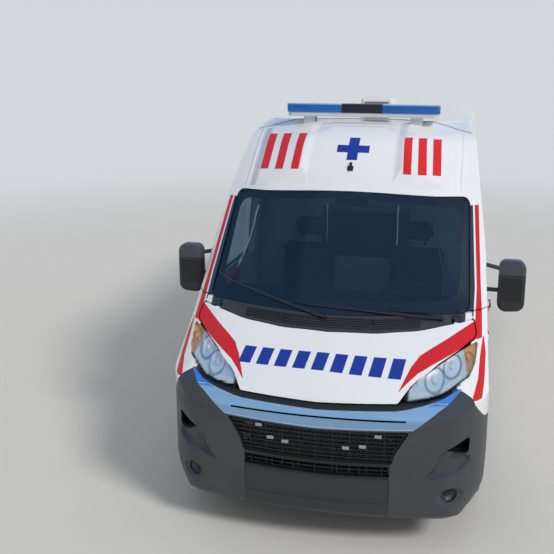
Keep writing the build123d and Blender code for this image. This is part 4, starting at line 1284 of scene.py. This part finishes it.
def arrayed(name, finish, form, count, step, begin):
    """A small form repeated at even steps from a place of across, behind the front axle and up."""
    start = (begin[0], begin[1] + front_axle, begin[2])
    row = Pattern(name, finish, Count=count, Step=step, Start=start)
    line, _, number = row.spaced(row.sizes["Count"], 1)
    shift = row.node("ShaderNodeVectorMath", {"operation": "SCALE"}, {0: row.sizes["Step"], "Scale": number})
    place = row.node("ShaderNodeVectorMath", {"operation": "ADD"}, {0: row.sizes["Start"], 1: shift})
    row.close(row.moved(line, place))
    return row.make(origin(form.copy()))


modules = Finish("lamp_modules", tone(214, 220, 226), 0.15, Metallic=0.7)
modules.wear(0.12, 0.1, 60.0)
module = slab((-0.022, -0.004, -0.016), (0.022, 0.004, 0.016), 0.003)
faces = []
for hand in (1, -1):
    for depth in (0.868, 0.982):
        begin, step = (hand * 0.20, depth, 2.608), (hand * 0.056, 0.0, 0.0)
        faces.append(arrayed("lamp_row", modules, module, 7, step, begin))
keep("lightbar_modules", joined(faces), "van_body", modules, "lamp_glass")

gloss_white = Finish("white_roof_plastic", tone(228, 230, 232), 0.4)
x, y, z = gloss_white.place()
aerial = (0.7 - (y - front_axle)).ramp(-0.01, 0.01)
soil = gloss_white.grain(5.0, 5.0) * 0.4
gloss_white.tint(aerial, gloss_white.mix(soil, tone(230, 232, 234), tone(196, 194, 188)), tone(24, 25, 27))
gloss_white.feed("Roughness", 0.36 + soil * 0.2)
dress("roof_fittings", gloss_white, "white_plastic", angle=35, edge=0.003)
louvre_bar = slab((-0.11, -0.004, -0.003), (0.11, 0.004, 0.003), 0.002)
vent_slats = arrayed("vent_slats", grained, louvre_bar, 5, (0.0, 0.0, 0.016), (0.0, 1.824, 2.55))
keep("vent_slats", vent_slats, "van_body", grained, "dark_plastic")

sealant = Finish("grey_sealant", tone(150, 146, 136), 0.6)
sealant.tint(sealant.grain(40.0, 4.0), tone(132, 128, 118), tone(170, 166, 156))
sealant.relief(sealant.grain(160.0, 3.0), 0.002, 0.6)
bead_line = [(-0.84, 0.93), (-0.74, 0.95), (-0.62, 1.0), (-0.51, 1.016), (-0.43, 1.01), (-0.38, 1.07)]
bead_line += [(-0.30, 1.099), (-0.1, 1.132), (0.1, 1.134), (0.29, 1.125), (0.38, 1.08), (0.44, 1.01)]
bead_line += [(0.53, 1.016), (0.64, 0.99), (0.74, 0.95), (0.84, 0.93)]
on_roof = caster("roof", "roof_cap")
bead = run(traced(on_roof, above, bead_line, 150), round_profile(0.0045, 8))
keep("roof_sealant", smoothed(bead, 60), "van_body", sealant, "white_paint")


# The sides: black rubbing strips along the doors and panels, orange marker lamps low on the panels,
# and a painted fuel flap on the left.

strip_spans = {
    "front_door_left": [(0.48, 1.125)],
    "front_door_right": [(0.48, 1.125)],
    "side_panel_left": [(1.20, 2.99), (3.91, 4.36)],
    "sliding_door": [(1.262, 2.468)],
    "side_panel_right": [(2.54, 2.99), (3.91, 4.36)],
}
moulding = balanced([(-0.058, -0.002), (-0.056, 0.006), (-0.044, 0.010)])
for node, spans in strip_spans.items():
    right = node in ("sliding_door", "side_panel_right", "front_door_right")
    meet, aim, bars = caster(node), right_side if right else left_side, []
    for begin, end in spans:
        stops = traced(meet, aim, [(begin, 0.69), (end, 0.69)], 20)
        bars.append(run(stops, moulding, lambda t: min(1.0, 0.82 + 6 * min(t, 1 - t))))
    keep(node + "_strip", smoothed(joined(bars), 40), body_of(node), grained, "dark_plastic")

markers = []
for places, node, aim in (
    ((1.45, 2.75, 4.2), "side_panel_left", left_side),
    ((2.75, 4.2), "side_panel_right", right_side),
):
    meet = caster(node)
    for place in places:
        rows = [(place + u, v, 0.01) for u, v in ((0, 0.812), (0, 0.842), (0.11, 0.842), (0.11, 0.812))]
        markers.append(plate_on(meet, aim, rows, 0.0003, 0.009, 0.03, 0.003))
keep("side_markers", joined(markers), "van_body", amber, "red_lens")
rows = [(u, v, 0.025) for u, v in ((1.235, 0.90), (1.235, 1.05), (1.385, 1.05), (1.385, 0.90))]
flap = plate_on(caster("side_panel_left"), left_side, rows, 0.0002, 0.003, 0.03, 0.0012)
keep("fuel_flap", flap, "van_body", enamel, "white_paint")


# The wheels: painted steel rims pierced with round holes, five bolts round a plastic centre cap, and
# radial tyres with a blocked tread.

steel_paint = Finish("silver_wheel_paint", tone(150, 153, 156), 0.38, Metallic=0.5, Coat_Weight=0.4)
grime = steel_paint.grain(12.0, 6.0)
steel_paint.tint(grime * 0.6, tone(160, 163, 166), tone(96, 92, 86))
steel_paint.feed("Roughness", 0.3 + grime * 0.35)
tread = Finish("tyre_rubber", tone(26, 26, 27), 0.8)
dusty = tread.grain(14.0, 6.0)
tread.tint(dusty * 0.7, tone(22, 22, 23), tone(58, 55, 51))
tread.feed("Roughness", 0.68 + dusty * 0.2)
tread.relief(tread.grain(420.0, 3.0), 0.0006, 0.6)
zinc = Finish("zinc_bolts", tone(168, 170, 172), 0.3, Metallic=1.0)
zinc.wear(0.26, 0.2, 120.0)


def ringed(name, finish, **sizes):
    """A tree that sets a small form in rings about an axis that runs across the vehicle."""
    start = dict(Count=12, Rows=1, Radius=0.1, Pitch=0.0, Skew=0.0)
    start.update(sizes)
    ring = Pattern(name, finish, **start)
    count, rows = ring.sizes["Count"], ring.sizes["Rows"]
    line, row, column = ring.spaced(count, rows)
    angle = column / count * (2 * pi) + row * ring.sizes["Skew"]
    across = (row - (rows - 1.0) * 0.5) * ring.sizes["Pitch"]
    ahead = angle.math("SINE", angle) * ring.sizes["Radius"]
    up = angle.math("COSINE", angle) * ring.sizes["Radius"]
    place = ring.node("ShaderNodeCombineXYZ", sockets={0: across, 1: ahead, 2: up})
    turned = ring.node("ShaderNodeCombineXYZ", sockets={0: -angle, 1: 0.0, 2: 0.0})
    ring.close(ring.moved(line, place), Rotation=turned)
    return ring


def spun(profile, count, closed=True):
    """A profile of across and radius turned about an axis across the vehicle."""
    rows = []
    for step in range(count):
        a = 2 * pi * step / count
        rows.append([Vector((u, r * sin(a), r * cos(a))) for u, r in profile])
    return outwards(lofted(rows, closed, loop=True))


tyre_side = [(-0.0797, 0.1905), (-0.0797, 0.204), (-0.094, 0.215), (-0.103, 0.232), (-0.1045, 0.236)]
tyre_side += [(-0.1065, 0.252), (-0.1073, 0.272), (-0.1065, 0.292), (-0.1045, 0.304), (-0.1052, 0.307)]
tyre_side += [(-0.1005, 0.320), (-0.094, 0.3295)]
crown = [(-0.083, 0.3335), (-0.04, 0.3345), (0.0, 0.335), (0.04, 0.3345), (0.083, 0.3335)]
tyre_profile = tyre_side + crown + [(-u, r) for u, r in tyre_side[::-1]]
carcass = smoothed(spun(tyre_profile, 96), 50)
block = origin(slab((-0.0155, -0.0118, -0.004), (0.0155, 0.0118, 0.0062), 0.002, 1))
blocks = ringed("tread_blocks", tread, Count=78, Rows=5, Radius=0.3345, Pitch=0.0352, Skew=0.031).make(block)
tyre_form = joined([carcass, blocks])
for vertex in tyre_form.vertices:
    limit = 0.3412 - max(0.0, abs(vertex.co.x) - 0.075) * 0.28
    radius = (vertex.co.y**2 + vertex.co.z**2) ** 0.5
    if radius > limit:
        vertex.co.y *= limit / radius
        vertex.co.z *= limit / radius
nut_sizes = {"radius1": 0.0115, "radius2": 0.0105, "depth": 0.016}
nut = small(bmesh.ops.create_cone, cap_ends=True, segments=6, **nut_sizes)
nut.transform(Matrix.Rotation(pi / 2, 4, "Y"))
nuts = ringed("wheel_bolts", zinc, Count=5, Radius=0.062).make(nut)
cap_profile = [(0.062, 0.0), (0.078, 0.0), (0.079, 0.010), (0.077, 0.024), (0.072, 0.031), (0.062, 0.0335)]
centre_cap = spun(cap_profile, 40, closed=False)
wheelbase, hub_height, bolt_seat = 3.45, 0.341, 0.076
wheels = {
    "front_left": ("left_front_wheel", 1, 0.905, 0.0),
    "front_right": ("right_front_wheel", -1, 0.905, 0.0),
    "rear_left": ("left_rear_wheel", 1, 0.895, wheelbase),
    "rear_right": ("right_rear_wheel", -1, 0.895, wheelbase),
}
for place, (body, hand, across, back) in wheels.items():
    shift = Matrix.Translation((hand * across, back + front_axle, hub_height))
    parts = []
    for form in (tyre_form, nuts, centre_cap):
        part = mirrored(form) if hand < 0 else form.copy()
        if form is nuts:
            part.transform(Matrix.Translation((hand * bolt_seat, 0, 0)))
        part.transform(shift)
        parts.append(part)
    keep("tyre_tread_" + place, parts[0], body, tread, "tyre_rubber", "tyre_" + place)
    keep("wheel_bolts_" + place, parts[1], body, zinc, "engine_metal")
    keep("centre_cap_" + place, smoothed(parts[2], 40), body, grained, "dark_plastic")
    coat("rim_" + place, steel_paint)


# The back: two doors with raised pressings, a blank plate under its lamp and a handle, tail lamps with
# red, orange and clear zones, a high stop lamp, and a plastic bumper with ribs for the foot.

tail = Finish("tail_lamp_lens", tone(170, 16, 18), 0.1, Coat_Weight=0.8, Coat_Roughness=0.03)
x, y, z = tail.place()
orange = (z - 1.24).ramp(-0.001, 0.001) & (1.36 - z).ramp(-0.001, 0.001)
clear_zone = (1.09 - z).ramp(-0.001, 0.001)
tail_colour = tail.mix(orange, tone(168, 18, 20), tone(222, 116, 24))
tail.tint(clear_zone, tail_colour, tone(206, 208, 210))
tail.relief(abs(z.wrap(0.012) * 83.0 - 0.5), 0.0012, 0.5)
dress("tail_lamps", tail, "red_lens", angle=35, edge=0.002)
dress("rear_bumper", bumper, "dark_plastic", angle=35, edge=0.004)
tread_rib = slab((-0.028, -0.016, -0.0015), (0.028, 0.016, 0.002), 0.0015, 1)
step_ribs = arrayed("step_ribs", grained, tread_rib, 25, (0.066, 0.0, 0.0), (-0.792, 4.440, 0.5))
keep("step_ribs", step_ribs, "van_body", grained, "dark_plastic")
back_left, back_right = caster("rear_door_left"), caster("rear_door_right")
rows = oblong((0.12, 0.80), (0.64, 0.91), 0.008)
blank_plate = plate_on(back_left, rear, rows, 0.0005, 0.004, 0.08, 0.0015)
plate_white = Finish("blank_plate", tone(222, 222, 218), 0.35)
plate_white.tint(plate_white.grain(8.0, 4.0), tone(226, 226, 222), tone(206, 205, 199))
keep("rear_plate", blank_plate, "left_rear_door", plate_white, "white_plastic")
rows = oblong((0.25, 0.945), (0.51, 0.985), 0.01)
plate_lamp = plate_on(back_left, rear, rows, 0.0003, 0.016, 0.05, 0.004)
keep("plate_lamp", plate_lamp, "left_rear_door", grained, "dark_plastic")
rows = oblong((-0.045, 1.05), (-0.155, 1.20), 0.018)
handle = plate_on(back_right, rear, rows, 0.0003, 0.016, 0.03, 0.005)
keep("rear_handle", handle, "right_rear_door", grained, "dark_plastic")
rows = oblong((-0.16, 2.345), (0.16, 2.375), 0.008)
stop_lamp = plate_on(caster("roof"), rear, rows, -0.004, 0.004, 0.04, 0.0015)
keep("high_stop_lamp", stop_lamp, "van_body", tail, "red_lens")
for hand, node in ((1, "rear_door_left"), (-1, "rear_door_right")):
    meet, ribs = caster(node), []
    heights = [(0.58, 0.74), (1.14, 1.28), (1.99, 2.13)] if hand > 0 else [(0.58, 0.74), (1.99, 2.13)]
    for low, high in heights:
        rows = oblong((hand * 0.20, low), (hand * 0.72, high), 0.02)
        ribs.append(plate_on(meet, rear, rows, 0.0002, 0.004, 0.05, 0.003))
    keep(node + "_pressings", joined(ribs), body_of(node), enamel, "white_paint")


# The cab: a grained dashboard with outlets, an instrument hood, a plain screen and a gear lever, a
# leather steering wheel, two sun visors and a mirror, a moulded bulkhead and rubber floors.

soft_black = Finish("soft_black_plastic", tone(40, 41, 44), 0.6)
soft_black.tint(soft_black.grain(3.0, 4.0), tone(36, 37, 40), tone(50, 51, 54))
soft_black.wear(0.55, 0.15, 5.0)
soft_black.relief(soft_black.cells(520.0), 0.0008, 0.5)
dress("dashboard", soft_black, "cab_plastic", angle=35, edge=0.004)
leather = Finish("wheel_leather", tone(74, 76, 80), 0.38)
leather.tint(leather.grain(8.0), tone(66, 68, 72), tone(90, 92, 96))
leather.relief(leather.cells(420.0), 0.0008, 0.5)
dress("steering_wheel", leather, "cab_plastic", angle=45, edge=0.002)
display = Finish("dark_screen", tone(10, 12, 15), 0.08, Coat_Weight=1.0)
display.wear(0.07, 0.05, 20.0)
outlet = slab((-0.075, 0.325, 1.175), (0.075, 0.352, 1.245), 0.01, 3)
outlets, vanes = [], []
vane = slab((-0.062, -0.004, -0.0012), (0.062, 0.004, 0.0012), 0.001, 1)
for across in (-0.74, -0.12, 0.12, 0.76):
    part = outlet.copy()
    part.transform(Matrix.Translation((across, 0, 0)))
    outlets.append(part)
    vanes.append(arrayed("vanes", satin, vane, 5, (0.0, 0.0, 0.011), (across, 0.354, 1.188)))
keep("cab_outlets", joined(outlets), "van_body", soft_black, "cab_plastic")
keep("outlet_vanes", joined(vanes), "van_body", satin, "cab_plastic")
console = [
    slab((-0.20, 0.16, 0.96), (0.14, 0.345, 1.16), 0.03, 3),
    slab((0.27, 0.10, 1.335), (0.63, 0.30, 1.395), 0.028, 4),
    slab((-0.70, 0.30, 1.02), (-0.28, 0.322, 1.14), 0.02, 3),
    drum((-0.03, 0.30, 1.02), (-0.03, 0.40, 1.14), 0.011),
    drum((-0.03, 0.398, 1.135), (-0.03, 0.425, 1.18), 0.024, 0.02, edge=0.008),
]
keep("cab_console", smoothed(joined(console), 40), "van_body", soft_black, "cab_plastic")
cab_screen = slab((-0.17, 0.343, 1.03), (0.11, 0.349, 1.145), 0.002)
keep("cab_screen", cab_screen, "van_body", display, "cab_plastic")
headliner = Finish("grey_headliner", tone(150, 152, 152), 0.9)
headliner.tint(headliner.grain(200.0, 3.0), tone(140, 142, 143), tone(164, 166, 166))
headliner.relief(headliner.grain(900.0), 0.0006, 0.5)


def tilted(mesh, back, up, degrees):
    """The mesh turned about a line across the vehicle."""
    hinge = Matrix.Translation((0, back + front_axle, up))
    mesh.transform(hinge @ Matrix.Rotation(radians(degrees), 4, "X") @ hinge.inverted())
    return mesh


visors = []
for low, high in ((-0.72, -0.14), (0.14, 0.72)):
    visors.append(tilted(slab((low, 0.392, 1.93), (high, 0.408, 2.08), 0.007, 3), 0.40, 2.005, 28))
keep("sun_visors", joined(visors), "van_body", headliner, "cabin_panel")
frame_form = slab((-0.12, 0.36, 1.925), (0.12, 0.392, 1.99), 0.014, 3)
stalk = drum((0.0, 0.37, 1.98), (0.0, 0.40, 2.05), 0.01)
keep("cab_mirror", joined([frame_form, stalk]), "van_body", gloss_black, "cab_plastic")

panel_grey = Finish("moulded_panel", tone(176, 178, 178), 0.6)
panel_grey.tint(panel_grey.grain(2.0, 4.0), tone(168, 170, 171), tone(188, 190, 190))
panel_grey.relief(panel_grey.grain(380.0, 2.0), 0.0006, 0.4)
dress("bulkhead", panel_grey, "cabin_panel", angle=35, edge=0.003)
mat = Finish("rubber_floor", tone(64, 66, 70), 0.75)
x, y, z = mat.place()
under = (0.5 - z).ramp(-0.01, 0.01)
flecks = mat.cells(260.0)
floor_top = mat.mix((0.25 - flecks).ramp(0.0, 0.05), tone(70, 78, 92), tone(120, 128, 140))
mat.tint(under, floor_top, tone(168, 168, 164))
mat.relief(abs(x.wrap(0.02) * 50.0 - 0.5), 0.001, 0.4)
for node in ("cab_floor", "floor"):
    coat(node, mat)


# The seats: frames in black paint, and foam cushions, backs and head rests in a woven dark cloth,
# drawn in along sewn channels.

cloth = Finish("woven_seat_cloth", tone(50, 54, 62), 0.9)
x, y, z = cloth.place()
warp = abs(x.wrap(0.0032) * 312.0 - 0.5)
weft = abs((z + y).wrap(0.0032) * 312.0 - 0.5)
cloth.tint(warp & weft, tone(40, 44, 52), tone(78, 84, 96))
cloth.wear(0.82, 0.12, 300.0)
cloth.relief(warp + weft, 0.0008, 0.7)
tube_black = Finish("black_painted_steel", tone(30, 31, 33), 0.45)
chips = tube_black.grain(60.0, 6.0)
tube_black.tint((chips - 0.66).ramp(0.0, 0.05), tone(28, 29, 31), tone(86, 62, 44))
tube_black.wear(0.4, 0.25, 9.0)
dress("seat_frames", tube_black, "black_steel", angle=35, edge=0.006)


def sewn_pad(name, low, high, tilt, pull, seams):
    """A stuffed pad: a rounded form blown up by the cloth solver, sewn along seams, then tilted."""
    middle = [(a + b) / 2 for a, b in zip(low, high)]
    sizes = [b - a for a, b in zip(low, high)]
    half = [size / 2 - (pull if size == min(sizes) else 0.006) for size in sizes]
    form = slab([m - h for m, h in zip(middle, half)], [m + h for m, h in zip(middle, half)], 0.03, 4)
    form = worked(form, ("REMESH", {"mode": "VOXEL", "voxel_size": 0.008}))
    holder = bpy.data.objects.new(name, form)
    scene.collection.objects.link(holder)
    rest = [vertex.co.copy() for vertex in form.vertices]
    solver = holder.modifiers.new("stuffing", "CLOTH")
    solver.settings.use_pressure = True
    solver.settings.uniform_pressure_force = 4.0
    solver.settings.mass = 0.3
    solver.settings.tension_stiffness = 40
    solver.settings.effector_weights.gravity = 0.0
    for frame_number in range(1, 21):
        scene.frame_set(frame_number)
    graph = bpy.context.evaluated_depsgraph_get()
    form = bpy.data.meshes.new_from_object(holder.evaluated_get(graph))
    bpy.data.objects.remove(holder)
    for vertex, start in zip(form.vertices, rest):
        move = vertex.co - start
        if move.length > pull:
            vertex.co = start + move.normalized() * pull
    form = worked(form, ("SUBSURF", {"levels": 1, "render_levels": 1}))
    half_width, deep, centre = 0.007, 0.006, Vector((middle[0], middle[1] + front_axle, middle[2]))
    sewn = [vertex.co.copy() for vertex in form.vertices]
    for index, vertex in enumerate(form.vertices):
        for axis, place, side in seams:
            gap = ((vertex.co - centre)[axis] - place) / half_width
            if abs(gap) < 2.5 and vertex.normal.dot(Vector(side)) > 0.3:
                sewn[index] -= vertex.normal * deep * exp(-gap * gap)
    for vertex, spot in zip(form.vertices, sewn):
        vertex.co = spot
    return smoothed(tilted(form, middle[1], middle[2], tilt), 80)


up_face, front_face = (0, 0, 1), (0, -1, 0)
cushion_seams = [(0, -0.15, up_face), (0, 0.15, up_face), (1, -0.13, up_face), (1, 0.06, up_face)]
back_seams = [(0, -0.14, front_face), (0, 0.14, front_face), (2, 0.16, front_face), (2, -0.06, front_face)]
pad_forms = {
    "cushion": ((-0.25, 0.52, 0.79), (0.25, 1.0, 0.92), 0, 0.018, cushion_seams),
    "back": ((-0.24, 0.985, 0.93), (0.24, 1.095, 1.51), -12, 0.018, back_seams),
    "head_rest": ((-0.135, 1.073, 1.525), (0.135, 1.163, 1.695), -8, 0.012, [(2, -0.05, front_face)]),
}
stands_for = ["seat_pads"]
for seat, place in (("driver", 0.45), ("passenger", -0.45)):
    for form, (low, high, tilt, pull, seams) in pad_forms.items():
        low, high = (low[0] + place, *low[1:]), (high[0] + place, *high[1:])
        name = seat + "_" + form
        pad = sewn_pad(name, low, high, tilt, pull, seams)
        piece = keep(name, pad, "van_body", cloth, "seat_cloth", *stands_for)
        stands_for = []


# The load space: a laminated cabinet with doors and pulls, and a platform whose top has steel ribs,
# for a stretcher to stand on.

laminate = Finish("pale_laminate", tone(206, 208, 204), 0.35, Coat_Weight=0.3)
laminate.tint(laminate.grain(1.5, 5.0), tone(200, 203, 200), tone(214, 216, 212))
laminate.relief(laminate.grain(500.0), 0.0002, 0.3)
dress("load_fittings", laminate, "cabin_panel", angle=35, edge=0.006)
doors, pulls = [], []
for begin in (1.33, 1.66, 1.99, 2.32):
    doors.append(slab((0.548, begin, 0.58), (0.5605, begin + 0.30, 1.29), 0.004))
    pulls.append(drum((0.538, begin + 0.26, 0.88), (0.538, begin + 0.26, 1.02), 0.006))
    pulls.append(drum((0.538, begin + 0.26, 0.89), (0.552, begin + 0.26, 0.89), 0.005))
    pulls.append(drum((0.538, begin + 0.26, 1.01), (0.552, begin + 0.26, 1.01), 0.005))
keep("cabinet_doors", joined(doors), "van_body", laminate, "cabin_panel")
keep("cabinet_pulls", smoothed(joined(pulls), 40), "van_body", zinc, "engine_metal")
plank = slab((-0.012, -0.93, -0.003), (0.012, 0.93, 0.003), 0.002, 1)
ribs = arrayed("platform_ribs", zinc, plank, 14, (0.041, 0.0, 0.0), (-0.304, 3.30, 0.701))
keep("platform_ribs", ribs, "van_body", zinc, "engine_metal")


# Under the bonnet: the engine with a ribbed cover, pulleys and two bottles for fluids, and a radiator
# with upright fins in front of it.

cast_metal = Finish("cast_alloy", tone(120, 122, 124), 0.5, Metallic=0.6)
oily = cast_metal.grain(7.0, 6.0)
cast_metal.tint(oily, tone(132, 134, 136), tone(70, 68, 64))
cast_metal.feed("Roughness", 0.4 + oily * 0.3)
cast_metal.relief(cast_metal.grain(200.0, 3.0), 0.001, 0.6)
dress("engine", cast_metal, "engine_metal", angle=35, edge=0.02)
cover = slab((-0.28, -0.46, 0.985), (0.28, -0.02, 1.03), 0.02, 3)
keep("engine_cover", cover, "van_body", grained, "dark_plastic")
rib = slab((-0.006, -0.18, -0.004), (0.006, 0.18, 0.006), 0.003, 1)
ribs = arrayed("cover_ribs", grained, rib, 8, (0.06, 0.0, 0.0), (-0.21, -0.24, 1.03))
keep("cover_ribs", ribs, "van_body", grained, "dark_plastic")
fin = slab((-0.0012, -0.006, -0.2), (0.0012, 0.006, 0.2), 0.0006, 1)
fins = arrayed("radiator_fins", zinc, fin, 81, (0.01, 0.0, 0.0), (-0.40, -0.804, 0.67))
keep("radiator_fins", fins, "van_body", zinc, "engine_metal")
pulleys = []
for across, height, radius in ((0.375, 0.80, 0.075), (0.375, 0.62, 0.09), (0.375, 0.90, 0.045)):
    back = -0.28 - radius
    pulleys.append(drum((across, back, height), (across + 0.03, back, height), radius, edge=0.004))
keep("engine_pulleys", smoothed(joined(pulleys), 40), "van_body", satin, "engine_metal")
fluid = Finish("translucent_tank", tone(214, 210, 186), 0.4)
fluid.tint(fluid.grain(12.0), tone(220, 216, 194), tone(200, 194, 166))
bottles = [
    slab((0.42, -0.56, 0.93), (0.56, -0.42, 1.08), 0.03, 3),
    slab((-0.60, -0.50, 0.93), (-0.46, -0.38, 1.06), 0.03, 3),
    drum((0.49, -0.49, 1.08), (0.49, -0.49, 1.105), 0.026),
    drum((-0.53, -0.44, 1.06), (-0.53, -0.44, 1.085), 0.026),
]
keep("fluid_bottles", smoothed(joined(bottles), 40), "van_body", fluid, "white_plastic")


# Underneath: subframe and rear axle in black paint, cast hubs and a steel exhaust with a film of rust,
# its clamps, a plastic tank held by straps, and felt liners in the arches.

for node in ("front_subframe", "rear_axle"):
    dress(node, tube_black, "black_steel", angle=35)
iron = Finish("rusty_iron", tone(98, 92, 88), 0.6, Metallic=0.5)
rust = iron.grain(24.0, 6.0)
iron.tint((rust - 0.45).ramp(0.0, 0.2), tone(104, 102, 100), tone(104, 66, 44))
iron.feed("Roughness", 0.5 + rust * 0.3)
iron.relief(rust, 0.001, 0.6)
for node in ("knuckle_left", "knuckle_right", "exhaust"):
    dress(node, iron, "black_steel", angle=35)
felt = Finish("arch_felt", tone(36, 36, 38), 0.95)
felt.tint(felt.grain(30.0, 6.0), tone(30, 30, 32), tone(64, 60, 56))
felt.relief(felt.grain(500.0, 4.0), 0.0015, 0.8)
coat("arch_liners", felt)
coat("fuel_tank", grained)
straps, clamps = [], []
for back in (1.55, 2.12):
    straps.append(slab((0.034, back, 0.206), (0.431, back + 0.035, 0.2105), 0.001))
    for across in (0.034, 0.4265):
        straps.append(slab((across, back, 0.206), (across + 0.0045, back + 0.035, 0.40), 0.001))
keep("tank_straps", joined(straps), "van_body", zinc, "black_steel")
for back in (0.30, 1.10, 1.90, 2.75, 3.05):
    clamps.append(drum((-0.25, back, 0.30), (-0.25, back + 0.03, 0.30), 0.0325, edge=0.004))
keep("exhaust_clamps", smoothed(joined(clamps), 40), "van_body", zinc, "engine_metal")
